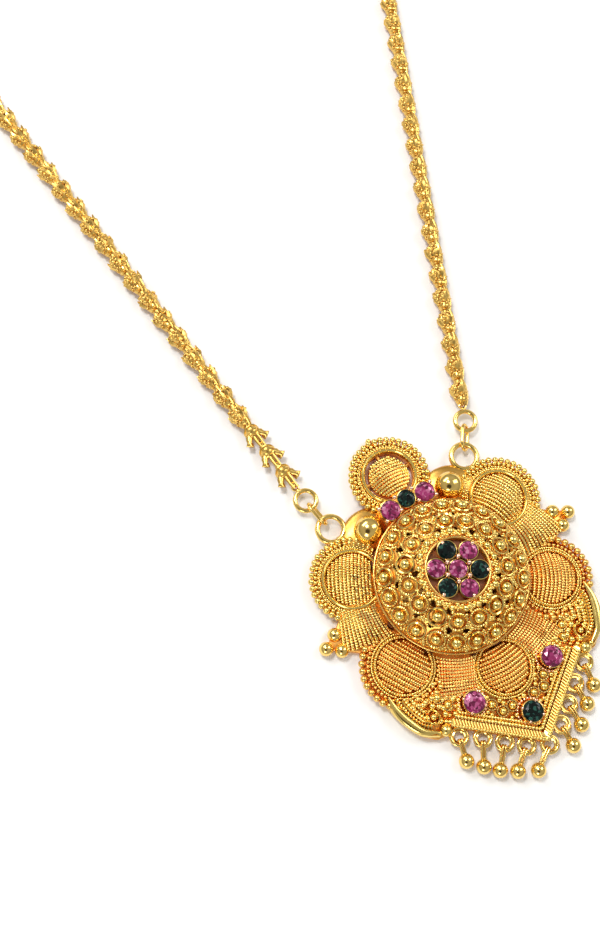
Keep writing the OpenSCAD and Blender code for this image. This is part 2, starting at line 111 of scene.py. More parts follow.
# Fringe: ring centres along the lower edge from left to right, and the bead of each drop
BEAD_R = 1.08
FRINGE = [
    ((-11.05, -20.6), (-11.9, -24.1)), ((-8.1, -22.5), (-10.1, -26.0)),
    ((-5.6, -24.6), (-8.3, -27.6)), ((-3.05, -26.55), (-6.1, -29.0)),
    ((0.0, -28.1), (-3.4, -30.4)), ((3.05, -26.55), (3.0, -30.0)),
    ((5.6, -24.6), (5.7, -28.1)), ((8.1, -22.5), (8.1, -26.0)), ((11.05, -20.6), (10.5, -24.2)),
]

# Chain: the plan of its loop, as in the solids
LINK_PITCH = 3.98
CHAIN_Z = 1.33
LOOP_END_R = 61
# Lean of each straight strand, and of the way from each hanger to its end ring, by side
LEANS = {-1: -8, 1: 22}
RING_LEANS = {-1: -11, 1: 33.8}
HANGER_AT = np.array([12, 15.05])
RING_STEP = 5.84
JUMP_STEP = 3.14
RING_TO_JOINT = 2.85
CLASP_HALF = 5.3


# Shapes

def turn_about(axis, degrees):
    a = math.radians(degrees)
    i, k = (axis + 1) % 3, (axis + 2) % 3
    turn = np.eye(3)
    turn[[i, k], [i, k]] = math.cos(a)
    turn[[i, k], [k, i]] = -math.sin(a), math.sin(a)
    return turn


turn_x, turn_y, turn_z = (partial(turn_about, axis) for axis in range(3))


def unit(v):
    v = np.asarray(v, float)
    return v / np.linalg.norm(v)


def circle(r, n, z=0.0, start=0.0):
    a = math.radians(start) + np.arange(n) * 2 * math.pi / n
    return np.stack([r * np.cos(a), r * np.sin(a), np.full(n, z)], 1)


def arc(r, start, end, n):
    a = np.radians(np.linspace(start, end, n))
    return np.stack([r * np.cos(a), r * np.sin(a), np.zeros(n)], 1)


def ball_shape(sides, rings):
    """Points and faces of a unit ball."""
    dips = [math.pi * j / rings for j in range(1, rings)]
    points = [[UP], *[circle(math.sin(dip), sides, math.cos(dip)) for dip in dips], [-UP]]
    low = 1 + (rings - 2) * sides
    faces = []
    for i in range(sides):
        k = (i + 1) % sides
        faces.append((0, 1 + i, 1 + k))
        faces += [(a + i, a + sides + i, a + sides + k, a + k) for a in range(1, low, sides)]
        faces.append((low + i, low + sides, low + k))
    return np.vstack(points), faces


# Balls, from the coarsest to the finest
GRAIN = ball_shape(6, 4)
TINY = ball_shape(8, 5)
SMALL = ball_shape(12, 8)
MEDIUM = ball_shape(16, 10)
LARGE = ball_shape(40, 24)


def evenly(path, step, closed=False):
    """Points at even spacing, close to step, along a path."""
    path = np.asarray(path, float)
    if closed:
        path = np.vstack([path, path[:1]])
    lengths = np.linalg.norm(np.diff(path, axis=0), axis=1)
    along = np.concatenate([[0], np.cumsum(lengths)])
    count = max(1, round(along[-1] / step))
    at = np.linspace(0, along[-1], count + 1)
    if closed:
        at = at[:-1]
    return np.stack([np.interp(at, along, path[:, k]) for k in range(3)], 1)


def smooth_path(points, n):
    """Catmull-Rom curve through points, with n steps between each two."""
    p = np.asarray(points, float)
    p = np.vstack([2 * p[0] - p[1], p, 2 * p[-1] - p[-2]])
    curve = [0.5 * (2 * b + (c - a) * t + (2 * a - 5 * b + 4 * c - d) * t**2
                    + (3 * b - a - 3 * c + d) * t**3)
             for a, b, c, d in zip(p, p[1:], p[2:], p[3:]) for t in np.arange(n) / n]
    return np.array([*curve, p[-2]])


def jitter(k):
    """Number between -0.5 and 0.5 that looks random but is the same in each run."""
    return math.modf(math.sin(k * 12.9898 + 4.1) * 43758.5453)[0] / 2


def dome_z(r, cap_r=DOME_R):
    return DOME_CENTRE_Z + math.sqrt(cap_r**2 - r**2)


def on_dome(r, degrees):
    """Place and axes of a point on the dome, square to its surface."""
    tilt = math.degrees(math.asin(r / DOME_R))
    return polar(r, degrees, dome_z(r)), turn_z(degrees) @ turn_y(tilt)


def new_object(name, data):
    obj = bpy.data.objects.new(name, data)
    bpy.context.scene.collection.objects.link(obj)
    return obj


class Piece:
    """Shapes gathered in millimetres on the pendant's axes, which become one object.

    It takes the place of the nodes named last, or of the pendant's body where none is named.
    """

    def __init__(self, name, material, *replaced):
        self.name = name
        self.material = MATERIALS[material]
        self.replaced = replaced or ("pendant_body",)
        self.points = []
        self.faces = []
        self.count = 0
        self.move()

    def move(self, origin=(0, 0, 0), axes=np.eye(3)):
        """Sets the place and axes on which the next shapes are drawn."""
        self.origin = np.asarray(origin, float)
        self.axes = axes

    def add(self, points, faces, at=(0, 0, 0), axes=None):
        """Adds a shape by its place on the piece's present axes, and its own axes on them."""
        turn = self.axes if axes is None else self.axes @ axes
        self.points.append(points @ turn.T + self.axes @ at + self.origin)
        first = self.count
        self.faces.extend([tuple(k + first for k in face) for face in faces])
        self.count += len(points)

    def ball(self, at, r, shape=SMALL, flat=1.0):
        """Ball that stays level, however the present axes are turned."""
        self.add(shape[0] * (r, r, r * flat), shape[1], at, self.axes.T)

    def beads(self, path, r, pitch, closed=True):
        """Row of tiny balls along a path."""
        for at in evenly(path, pitch, closed):
            self.ball(at, r, TINY)

    def loft(self, rows, closed_around=True, closed_along=False, caps=True, at=(0, 0, 0),
             axes=None):
        """Skin over rows of points, each row a ring across the shape."""
        rows = np.asarray(rows, float)
        n, m = rows.shape[:2]
        faces = []
        for j in range(n if closed_along else n - 1):
            a, b = j * m, ((j + 1) % n) * m
            for i in range(m if closed_around else m - 1):
                k = (i + 1) % m
                faces.append((a + i, a + k, b + k, b + i))
        if caps and not closed_along:
            faces.append(tuple(range(m - 1, -1, -1)))
            faces.append(tuple((n - 1) * m + i for i in range(m)))
        self.add(rows.reshape(-1, 3), faces, at, axes)

    def tube(self, path, r, sides=6, closed=False, up=UP, flat=1.0, **place):
        """Wire of radius r along a path: flat scales it along up."""
        path = np.asarray(path, float)
        if closed:
            ahead, behind = np.roll(path, -1, 0), np.roll(path, 1, 0)
        else:
            ahead = np.vstack([path[1:], path[-1:]])
            behind = np.vstack([path[:1], path[:-1]])
        way = ahead - behind
        way /= np.linalg.norm(way, axis=1, keepdims=True)
        side = np.cross(way, up)
        side /= np.linalg.norm(side, axis=1, keepdims=True)
        top = np.cross(side, way)
        r = np.broadcast_to(r, len(path))[:, None, None]
        x, y, _ = circle(1.0, sides).T[:, None, :, None]
        rows = path[:, None, :] + r * (side[:, None, :] * x + flat * top[:, None, :] * y)
        self.loft(rows, closed_along=closed, **place)

    def beaded(self, path, r, step, depth, sides=6, closed=False):
        """Beaded wire: a tube with a notch in each step."""
        path = evenly(path, step / 3, closed)
        swell = np.where(np.arange(len(path)) % 3, r, r * (1 - depth))
        self.tube(path, swell, sides, closed)

    def ring(self, at, r, wire, axes=None, around=24, sides=8):
        """Round wire ring in the plane of its own X and Y."""
        self.tube(circle(r, around), wire, sides, True, at=at, axes=axes)

    def lathe(self, profile, sides, at=(0, 0, 0), axes=None):
        """Solid of a profile of (radius, height) turned round Z, with both ends closed."""
        self.loft([circle(r, sides, z) for r, z in profile], at=at, axes=axes)

    def lathe_ring(self, profile, sides, at=(0, 0, 0)):
        """Closed profile of (radius, height) turned round Z."""
        rows = np.array([circle(r, sides, z) for r, z in profile])
        self.loft(np.swapaxes(rows, 0, 1), closed_along=True, at=at)

    def slab(self, outline, high, bevel=0.12):
        """Plate on the table with an eased upper edge, from its outline listed anticlockwise."""
        flat = np.asarray(outline, float)[:, :2]
        way = np.roll(flat, -1, 0) - np.roll(flat, 1, 0)
        normal = np.stack([-way[:, 1], way[:, 0]], 1)
        normal /= np.linalg.norm(normal, axis=1, keepdims=True)
        levels = ((flat, 0), (flat, high - bevel), (flat + bevel * normal, high))
        self.loft([np.column_stack([edge, np.full(len(flat), z)]) for edge, z in levels])

    def make(self):
        mesh = bpy.data.meshes.new(self.name)
        points = (np.vstack(self.points) + DISC_AT) * MM
        mesh.from_pydata(points.tolist(), [], self.faces)
        mesh.validate()
        mesh.shade_smooth()
        mesh.set_sharp_from_angle(angle=math.radians(50))
        obj = new_object(self.name, mesh)
        mesh.materials.append(self.material)
        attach(obj, "root")
        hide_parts(*self.replaced)
        return obj


# Materials

class Shading:
    """A node tree, with short ways to make and join the nodes that the materials share."""

    def __init__(self, owner, shader="Principled BSDF"):
        owner.use_nodes = True
        self.nodes = owner.node_tree.nodes
        self.links = owner.node_tree.links
        self.shader = self.nodes[shader]

    def fill(self, node, values):
        """Sets a node's inputs, or links them where the value is an output."""
        for name, value in values.items():
            if isinstance(value, bpy.types.NodeSocket):
                self.links.new(value, node.inputs[name])
            else:
                node.inputs[name].default_value = value

    def shade(self, values):
        self.fill(self.shader, values)

    def node(self, kind, values, **settings):
        made = self.nodes.new(f"ShaderNode{kind}")
        for name, value in settings.items():
            setattr(made, name, value)
        self.fill(made, values)
        return made

    def place(self, space="Object"):
        return self.node("TexCoord", {}).outputs[space]

    def noise(self, scale, detail=3.0):
        cloud = self.node("TexNoise", {"Vector": self.place(), "Scale": scale, "Detail": detail})
        return cloud.outputs["Fac"]

    def ramp(self, value, stops):
        scale = self.node("ValToRGB", {"Fac": value})
        elements = scale.color_ramp.elements
        while len(elements) < len(stops):
            elements.new(0.5)
        for element, (at, colour) in zip(elements, stops):
            element.position = at
            element.color = (*colour, 1)
        return scale.outputs["Color"]

    def multiply(self, a, b):
        mix = self.node("Mix", {"Factor": 1.0, "A": a, "B": b}, data_type="RGBA",
                        blend_type="MULTIPLY")
        return mix.outputs["Result"]

    def bump(self, height, strength, distance):
        relief = self.node("Bump", {"Height": height, "Strength": strength,
                                    "Distance": distance * MM})
        return relief.outputs["Normal"]


def new_material(name, slot):
    material = bpy.data.materials.new(name)
    material["slot"] = slot
    return material, Shading(material)


# Scales of the noises, per metre of the object
TINT_SCALE = 900
ROUGHNESS_SCALE = 2500
PAPER_SCALE = 40
GLASS_CELL_SCALE = 2300


def gold(name, bright, deep, rough, reach, bump=0.12, pits=9000):
    """Plated gold: bright where open, with painted shade that turns it deep orange in its
    crevices, and a slight hammer grain.
    """
    material, shading = new_material(name, "gold")
    # Painted shade: ambient occlusion blends the tone from the open gold to the crevice shade
    painted_shade_mask = shading.node("AmbientOcclusion", {"Distance": reach * MM}, samples=8)
    mid = tuple(0.6 * a + 0.4 * b for a, b in zip(bright, deep))
    tone = shading.ramp(painted_shade_mask.outputs["AO"], [(0.08, deep), (0.33, mid), (0.6, bright)])
    tint = shading.ramp(shading.noise(TINT_SCALE), [(0.3, (0.92, 0.86, 0.76)), (0.7, (1, 1, 1))])
    spread = shading.node("MapRange", {"Value": shading.noise(ROUGHNESS_SCALE),
                                       "To Min": rough[0], "To Max": rough[1]})
    shading.shade({"Metallic": 1.0, "Base Color": shading.multiply(tone, tint),
                   "Roughness": spread.outputs["Result"],
                   "Normal": shading.bump(shading.noise(pits, 2.0), bump, 0.02)})
    return material


def cut_glass(name, tones, sparkle, ior):
    """Foiled glass stone: cells of several tones, from dark to light, are painted facet
    reflections that stand for the facets under its table.
    """
    material, shading = new_material(name, name)
    cells = shading.node("TexVoronoi", {"Vector": shading.place(), "Scale": GLASS_CELL_SCALE})
    shade = shading.node("SeparateColor", {"Color": cells.outputs["Color"]}).outputs
    tone = shading.ramp(shade["Red"], list(zip((0.0, 0.4, 0.7, 0.95), tones)))
    shading.shade({"Base Color": tone, "Metallic": sparkle, "Roughness": 0.08, "IOR": ior,
                   "Normal": shading.bump(shade["Green"], 0.5, 0.12)})
    return material


GOLD_BRIGHT = (0.92, 0.7, 0.22)
# Tone of the painted shade in the crevices
GOLD_CREVICE_SHADE = (0.85, 0.27, 0.03)
# Open tone, tone of the painted crevice shade, range of roughness, reach of the painted crevice
# shade in mm, and for the dome the strength and scale of its grain. The open tones of base, dome,
# shoulder, warm and chain are darker, more orange copies of the same gold, as painted shade
GOLDS = {
    "base": ((0.95, 0.5, 0.13), (0.8, 0.25, 0.04), (0.3, 0.45), 1.0),
    "dome": ((0.85, 0.52, 0.13), (0.7, 0.22, 0.02), (0.28, 0.42), 1.0, 0.6, 4500),
    # Dark brown of the painted shade on the floor between the stones and in the gaps by the rim
    "painted_shade_recess": ((0.22, 0.09, 0.05), (0.08, 0.02, 0.015), (0.4, 0.5), 0.9),
    "bright": (GOLD_BRIGHT, GOLD_CREVICE_SHADE, (0.12, 0.24), 0.6),
    "polished": ((0.97, 0.7, 0.22), (0.85, 0.3, 0.04), (0.1, 0.18), 0.8),
    "band": (GOLD_BRIGHT, GOLD_CREVICE_SHADE, (0.26, 0.4), 0.4),
    "beads": (GOLD_BRIGHT, GOLD_CREVICE_SHADE, (0.18, 0.3), 0.9),
    "shoulder": ((0.66, 0.38, 0.09), (0.7, 0.18, 0.02), (0.26, 0.38), 1.6),
    "warm": ((0.9, 0.58, 0.17), (0.85, 0.22, 0.02), (0.2, 0.32), 1.4),
    "chain": ((0.8, 0.54, 0.15), (0.66, 0.22, 0.03), (0.24, 0.36), 1.4),
    "prong": ((1.0, 0.68, 0.5), (0.7, 0.3, 0.18), (0.14, 0.22), 0.4),
}
# Tones of a stone's cells, darkest first: its own colour, spread into painted facet reflections
PINK_TONES = [(0.07, 0.004, 0.025), (0.24, 0.015, 0.08), (0.4, 0.04, 0.17), (0.6, 0.22, 0.36)]
GREEN_TONES = [(0.001, 0.002, 0.002), (0.001, 0.006, 0.005), (0.002, 0.015, 0.011),
               (0.02, 0.08, 0.06)]
MATERIALS = {key: gold(f"gold_{key}", *spec) for key, spec in GOLDS.items()}
MATERIALS["pink"] = cut_glass("pink_glass", PINK_TONES, 0.25, 1.6)
MATERIALS["green"] = cut_glass("green_glass", GREEN_TONES, 0.0, 1.35)


# Pendant pieces

# Outlines in plan, anticlockwise: the right half of the lower plate, the right wing, the top
# plate, and the block under the top stones
LOWER_PLATE = [(0.7, -27.25), (10.5, -19.6), (11.8, -19.8), (13.9, -19.5), (15.7, -18),
               (16.9, -15.9), (17.6, -13.6), (17.9, -11), (17.6, -7)]
WING_PLATE = [(10, -6), (16, -6), (17.6, -3), (19.2, -1.9), (21.5, -0.5), (21.5, 0.1),
              (19.2, 1.4), (17.6, 2.8), (16, 4.5), (10, 4.5)]
TOP_PLATE = [(-11, 8), (11, 8), (11.2, 13.4), (10, 14.8), (5.4, 15.2), (4.1, 14.4),
             (-4.1, 14.4), (-5.4, 15.2), (-10, 14.8), (-11.2, 13.4)]
TOP_STONE_BLOCK = [(-4.6, 11), (4.6, 11), (4.6, 13.85), (0, 14.8), (-4.6, 13.85)]
# Step that keeps the tops of overlapping plates apart
PLATE_STEP = 0.01
# Directions of the bars that carry the pad of the top petal
TOP_PETAL_BARS = (5, 88, 175, -92)


def petal_frame(petal):
    """Centre and axes of a petal: its X points away from the disc."""
    return polar(petal[2], petal[1]), turn_z(petal[1])


def mirrored(outline):
    return [(-x, y) for x, y in reversed(outline)]


def plate():
    """Flat plates on which everything else stands."""
    piece = Piece("pendant_plate", "base")
    piece.slab(circle(DISC_R, 72), PLATE_H)
    for outline, steps in ((mirrored(LOWER_PLATE) + LOWER_PLATE, 2), (WING_PLATE, 4),
                           (mirrored(WING_PLATE), 4), (TOP_PLATE, 3)):
        piece.slab(outline, PLATE_H - steps * PLATE_STEP)
    for spec in PETALS[1:]:
        piece.slab(circle(spec[4] - 0.3, 56) + petal_frame(spec)[0], PLATE_H - PLATE_STEP)
    piece.slab(TOP_STONE_BLOCK, TOP_GIRDLE_Z - 1)
    # Flat ring of the top petal, its pad's disc and the bars across its crescent openings
    centre, _ = petal_frame(PETALS[0])
    rim_r, border_r = PETALS[0][3:5]
    inner, outer = rim_r - 0.35, border_r - 0.45
    piece.lathe_ring([(inner, 0), (inner, PLATE_H), (outer, PLATE_H), (outer, 0)], 64, centre)
    piece.slab(circle(rim_r - 0.95, 40) + centre, PLATE_H)
    for degrees in TOP_PETAL_BARS:
        piece.tube([centre + polar(r, degrees, PLATE_H - 0.35)
                    for r in (rim_r - 1.2, rim_r + 0.2)], 0.35, 8)
    piece.make()


DOME_AROUND = 240
DOME_RINGS = 36
GAP_R = 0.46
ROSETTE_R = 1.32


def rows_round(*rows):
    """Radius, angle and room of the places in rows of (radius, number, shift, room)."""
    return [(r, (i + shift) * 360 / n, room) for r, n, shift, room in rows for i in range(n)]


# Pierced gaps of the dome, the rosettes beside them, and the balls outside the collar
GAPS = rows_round((OUTER_ROW_R - 1.45, OUTER_ROSETTES, 0.5, GAP_R),
                  (INNER_ROW_R - 1.1, INNER_ROSETTES, 0.5, GAP_R))
ROSETTES = rows_round((OUTER_ROW_R, OUTER_ROSETTES, 0, ROSETTE_R + 0.12),
                      (INNER_ROW_R + 0.12, INNER_ROSETTES, 0, ROSETTE_R + 0.12),
                      (COLLAR_R + 0.75, COLLAR_BALLS, 0.5, 0.5))


def dome_skin(radii, cap_r):
    return np.array([circle(r, DOME_AROUND, dome_z(r, cap_r)) for r in radii])


def dome():
    """Pierced dome, and the collar round its stones."""
    piece = Piece("pendant_dome", "dome")
    radii = np.linspace(DISC_R - 0.25, COLLAR_R, DOME_RINGS)
    outer = dome_skin(radii, DOME_R)
    inner = dome_skin(radii - 0.3, DOME_R - DOME_WALL)
    open_cells = np.zeros((DOME_RINGS - 1, DOME_AROUND), bool)
    cell = (outer[:-1, :, :2] + outer[1:, :, :2]) / 2
    for r, degrees, _ in GAPS:
        reach = GAP_R * (1 + 0.3 * jitter(degrees))
        open_cells |= np.linalg.norm(cell - polar(r, degrees)[:2], axis=2) < reach
    pierced_shell(piece, outer, inner, open_cells)
    piece.lathe_ring([(COLLAR_R - 0.5, COLLAR_FLOOR_Z - 0.4),
                      (COLLAR_R + 0.1, COLLAR_FLOOR_Z - 0.4),
                      (COLLAR_R + 0.12, COLLAR_TOP_Z - 0.25),
                      (COLLAR_R - 0.1, COLLAR_TOP_Z - 0.1),
                      (COLLAR_R - 0.25, COLLAR_TOP_Z - 0.2)], 96)
    piece.make()


def pierced_shell(piece, outer, inner, open_cells):
    """Two skins joined round their edges and round each open cell."""
    n, m = outer.shape[:2]
    below = n * m
    faces = []
    for j in range(n - 1):
        for i in range(m):
            if open_cells[j, i]:
                continue
            k = (i + 1) % m
            a, b, c, d = j * m + i, j * m + k, (j + 1) * m + k, (j + 1) * m + i
            faces.append((a, b, c, d))
            faces.append((below + d, below + c, below + b, below + a))
            for (p, q), (jj, ii) in (((a, b), (j - 1, i)), ((c, d), (j + 1, i)),
                                     ((b, c), (j, k)), ((d, a), (j, (i - 1) % m))):
                if jj < 0 or jj >= n - 1 or open_cells[jj, ii]:
                    faces.append((q, p, below + p, below + q))
    piece.add(np.vstack([outer.reshape(-1, 3), inner.reshape(-1, 3)]), faces)


def disc_wall():
    """Rim wall under the dome."""
    piece = Piece("pendant_disc_wall", "base")
    low, outer, inner = PLATE_H - 0.1, DISC_R - 0.25, DISC_R - 0.95
    piece.lathe_ring([(inner, low), (outer, low), (outer, dome_z(outer) + 0.05),
                      (inner, dome_z(inner) - 0.1)], 120)
    piece.make()


# Middle and half width, in degrees, of the dark patches of painted shade in the gaps between
# the disc and its petals
RIM_GAPS = [(-85, 8), (-138, 4), (-171, 3), (138, 9), (112, 4), (-104, 3)]
RIM_GAP_Z = PLATE_H + 0.85
RIM_GAP_W = 0.36


def painted_shade_recess():
    """Painted shade: a dark floor between the stones on the dome, and dark patches in the gaps
    outside its rim.
    """
    piece = Piece("pendant_recess", "painted_shade_recess")
    piece.lathe([(COLLAR_R - 0.3, COLLAR_FLOOR_Z - 0.5), (COLLAR_R - 0.3, COLLAR_FLOOR_Z)], 64)
    for middle, half in RIM_GAPS:
        rows = []
        for share in np.linspace(-1, 1, 15):
            near, far = DISC_R + 0.02, DISC_R + 0.08 + RIM_GAP_W * (1 - share**2)
            corners = ((near, 0.3), (near, RIM_GAP_Z), (far, RIM_GAP_Z), (far, 0.3))
            rows.append([polar(r, middle + half * share, z) for r, z in corners])
        piece.loft(rows)
    piece.make()


ROSETTE_WIRE_R = 0.19
ROSETTE_BALL_R = 0.82
# Largest lean of a rosette, in degrees, over the width of the jitter
ROSETTE_LEAN = 9
COLLAR_BALL_R = 0.56
GRANULE_STEP = 0.45
# Turn between two points of an even spiral
GOLDEN_TURN = 137.50776
# Winding of a thin beaded wire, and depth of its notches
FINE_STEP = 0.36
FINE_NOTCH = 0.4


def dome_rosettes():
    """Rings of wire with a ball in each, and the balls outside the collar."""
    piece = Piece("pendant_rosettes", "bright")
    round_ball = ball_shape(22, 14)
    for k, (r, degrees, room) in enumerate(ROSETTES):
        at, axes = on_dome(r + 0.12 * jitter(k), degrees + jitter(3 * k))
        normal = axes @ UP
        if room < ROSETTE_R:
            piece.ball(at + 0.25 * normal, COLLAR_BALL_R * (1 + 0.2 * jitter(k)))
            continue
        lean = (axes @ turn_x(ROSETTE_LEAN * jitter(5 * k))
                @ turn_y(ROSETTE_LEAN * jitter(7 * k)))
        ring = circle(ROSETTE_R, 40) @ lean.T + at + 0.42 * normal
        if k % 3:
            piece.beaded(ring, ROSETTE_WIRE_R, FINE_STEP, FINE_NOTCH, 6, True)
        else:
            piece.tube(ring, ROSETTE_WIRE_R, 6, True)
        piece.ball(at + 0.44 * normal, ROSETTE_BALL_R * (1 + 0.1 * jitter(9 * k)), round_ball)
    piece.make()


def dome_granules():
    """Granules that fill the dome between its rosettes."""
    fill = Piece("pendant_dome_granules", "beads")
    taken = [(*polar(r, degrees)[:2], room) for r, degrees, room in ROSETTES + GAPS]
    width = DISC_R**2 - COLLAR_R**2
    count = int(width * math.pi / (GRANULE_STEP * GRANULE_STEP * 0.75))
    for k in range(count):
        r = math.sqrt(COLLAR_R**2 + width * (k + 0.5) / count)
        x, y, _ = polar(r, k * GOLDEN_TURN)
        if (COLLAR_R + 0.2 <= r <= DISC_R - 0.35
                and all(math.hypot(x - u, y - v) >= room for u, v, room in taken)):
            at, axes = on_dome(r, k * GOLDEN_TURN)
            fill.ball(at + axes @ UP * 0.12, 0.27 + 0.5 * jitter(k)**2)
    fill.beads(circle(DISC_R - 0.62, 120, RIM_Z + 0.62), 0.22, 0.44)
    fill.beads(circle(COLLAR_R + 0.14, 90, COLLAR_TOP_Z - 0.4), 0.22, 0.46)
    fill.make()


def rim_wires():
    """Smooth wires round the disc and the collar."""
    wires = Piece("pendant_rim_wires", "warm")
    wires.tube(circle(DISC_R + 0.08, 120, RIM_Z + 0.12), 0.2, 8, True)
    wires.tube(circle(DISC_R - 0.3, 120, RIM_Z + 0.4), 0.12, 6, True)
    wires.tube(circle(COLLAR_R - 0.12, 96, COLLAR_TOP_Z - 0.02), 0.19, 8, True)
    wires.make()


# Spacing and depth of the notches along a ridge, and its radius as a share of the ridges' pitch
RIDGE_STEP = 0.4
RIDGE_NOTCH = 0.3
RIDGE_SHARE = 0.62
# How far the ridges of a round pad bow away from the disc
RIDGE_BOW = 0.35
# Share of the border's width, size, pitch and height of each row of granules
BORDER_ROWS = [(0.4, 0.26, 0.5, 0.36), (0.68, 0.36, 0.74, 0.42), (1.0, 0.5, 0.98, 0.4)]
LOWER_BORDER_ROWS = [(0.5, 0.32, 0.66, 0.3), (0.97, 0.56, 1.1, 0.4)]
# Granules nearer than this to the disc's axis, or further below it than that, are left out
BORDER_NEAR = 12.2
BORDER_BELOW = -19.4


def petal(spec):
    """Petal with its rim wires, its border of granules and its ridged pad."""
    name, _, distance, rim_r, _, pitch, rim = spec
    centre, turn = petal_frame(spec)
    lower = rim == "beaded"
    piece = Piece(name, "warm" if lower else "beads")
    wires = Piece(f"{name}_rim", "bright")

    def rim_circle(r, z):
        return circle(r, 90, PLATE_H + z) + centre

    if lower:
        wires.beads(rim_circle(rim_r, 0.72), 0.24, 0.38)
        wires.tube(rim_circle(rim_r, 0.5), 0.22, 6, True)
    else:
        wires.tube(rim_circle(rim_r, 0.68), 0.3, 8, True, flat=1.2)
    wires.beaded(rim_circle(rim_r + 0.46, 0.36), 0.22, FINE_STEP, FINE_NOTCH, 7, True)
    border(piece if lower else wires, spec, centre)
    reach, crown = (3.02, 0.85) if rim == "open" else (rim_r - 0.5, 1.4)
    cushion(piece, centre, reach, crown)
    piece.move(centre, turn)
    ridged_pad(piece, distance, reach, pitch, crown)
    wires.make()
    piece.make()


def border(piece, spec, centre):
    """Rows of granules outside the rim wire, out of step with each other."""
    name, _, _, rim_r, border_r, _, rim = spec
    width = border_r - rim_r
    if width < 1:
        return
    rows = LOWER_BORDER_ROWS if rim == "beaded" else BORDER_ROWS
    for k, (share, r, pitch, z) in enumerate(rows):
        n = round(2 * math.pi * (rim_r + share * width) / pitch)
        for i in range(n):
            turn = (i + 0.37 * k + 0.1 * jitter(i + 31 * k + len(name))) * 360 / n
            out = rim_r + share * width + 0.08 * jitter(7 * i + k)
            x, y, z_at = centre + polar(out, turn, PLATE_H + z)
            if math.hypot(x, y) >= BORDER_NEAR and y >= BORDER_BELOW and not in_wedge(x, y):
                piece.ball((x, y, z_at), r * (1 + 0.1 * jitter(3 * i + k)))


def cushion(piece, centre, reach, crown):
    """Smooth bed under the ridges of a pad."""
    rows = [circle(reach + 0.1, 40, PLATE_H - 0.1)]
    for share in (1.0, 0.85, 0.65, 0.4, 0.15):
        rows.append(circle(reach * share, 40, PLATE_H - 0.04 + crown * (1 - share**2)))
    piece.loft(np.array(rows) + centre)


def ridged_pad(piece, distance, reach, pitch, crown):
    """Beaded wires across a round pad: they lie along its own Y and bow away from the disc."""
    count = int(2 * reach / pitch)
    for k in range(count):
        u = (k - (count - 1) / 2) * pitch
        half = math.sqrt(max(0.0, (reach + 0.1)**2 - u**2))
        if half < 0.45:
            continue
        v = np.linspace(-half, half, max(4, round(2 * half / 0.5)))
        x = u - RIDGE_BOW * (v / reach)**2 + 0.5 * RIDGE_BOW
        z = PLATE_H + 0.2 + crown * (1 - np.minimum(1.0, (u * u + v * v) / reach**2))
        path = np.column_stack([x, v, z])[np.hypot(x + distance, v) > DISC_R + 0.2]
        if len(path) > 1:
            piece.beaded(path, RIDGE_SHARE * pitch * (1 + 0.1 * jitter(k)), RIDGE_STEP,
                         RIDGE_NOTCH)


# Pads between the petals, for the right side: name, four corners at the disc and outside,
# number of ridges, material
WEDGES = [("wedge", [(11.9, 2.9), (17.0, 4.0), (19.5, -2.0), (11.9, -3.4)], 12, "beads"),
          ("wedge_lower", [(7.9, -9.4), (10.7, -14.6), (5.2, -16.6), (2.7, -12.0)], 11, "warm")]
WEDGE_CROWN = 0.9
WEDGE_BOW = 0.45
WEDGE_FOOT_Z = 0.3


def in_wedge(x, y):
    """Whether a place of the plan lies well inside one of the pads between the petals."""
    return any(all((bx - ax) * (y - ay) - (by - ay) * (abs(x) - ax)
                   < -0.2 * math.hypot(bx - ax, by - ay)
                   for (ax, ay), (bx, by) in zip(corners, corners[1:] + corners[:1]))
               for _, corners, _, _ in WEDGES)


def wedge(side, name, corners, count, material):
    """Fan of beaded wires over a saddle between the disc and the pendant's edge."""
    piece = Piece(f"pendant_{name}_{SIDES[side]}", material)
    in_a, out_a, out_b, in_b = [np.array([side * x, y]) for x, y in corners]
    reach = (out_a + out_b) - (in_a + in_b)
    out = unit(reach)
    pitch = np.linalg.norm(reach) / 2 / count
    rows = []
    for k in range(count + 1):
        share = k / count
        a, b = in_a + (out_a - in_a) * share, in_b + (out_b - in_b) * share
        rise = WEDGE_CROWN * (1 - 0.8 * (2 * share - 1)**2)
        row = []
        for v in np.linspace(-1, 1, 15):
            bow = out * WEDGE_BOW * (1 - v * v) * (1 - share)
            x, y = (a + b) / 2 + (b - a) / 2 * v + bow
            row.append((x, y, PLATE_H + rise * (1 - v * v)))
        rows.append([(*row[0][:2], WEDGE_FOOT_Z), *row, (*row[-1][:2], WEDGE_FOOT_Z)])
        piece.beaded(np.array(row) + UP * 0.1, RIDGE_SHARE * pitch * (1 + 0.1 * jitter(k)),
                     RIDGE_STEP, RIDGE_NOTCH)
    piece.loft(rows, closed_around=False, caps=False)
    piece.make()


# Lower field: pitch of its rosettes and step of its granules, on staggered grids
FIELD_PITCH = 1.84
FIELD_STEP = 0.7
ROW_SHARE = 0.87
FIELD_RING_R = 0.8
FIELD_BALL_R = 0.58


def in_field(x, y, room=0.0):
    """Whether a rosette of the lower field fits at a place."""
    rounds = [(petal_frame(spec)[0], spec[4] + 0.2) for spec in PETALS[3:]]
    rounds += [(at, r + 0.8) for _, at, r, _, _ in LOWER_STONES]
    if any(math.hypot(x - at[0], y - at[1]) < reach + room for at, reach in rounds):
        return False
    # Distance inwards from the slanting lower edge
    below = (y + 24.9 - abs(x) * 0.775) * 0.79
    return (below > 0.45 + room and abs(x) < 13.0 - room and y > -24.4
            and math.hypot(x, y) >= 12.4 and not in_wedge(x, y))


def staggered(rows, columns, bottom, pitch, sway, seeds):
    """Places of a staggered grid that sway a little, each with its column and row."""
    for row in range(rows):
        for column in range(-columns, columns + 1):
            shift = sway * jitter(seeds[0] * column + seeds[1] * row)
            x = (column + 0.5 * (row % 2)) * pitch + shift
            yield x, bottom + row * pitch * ROW_SHARE, column, row


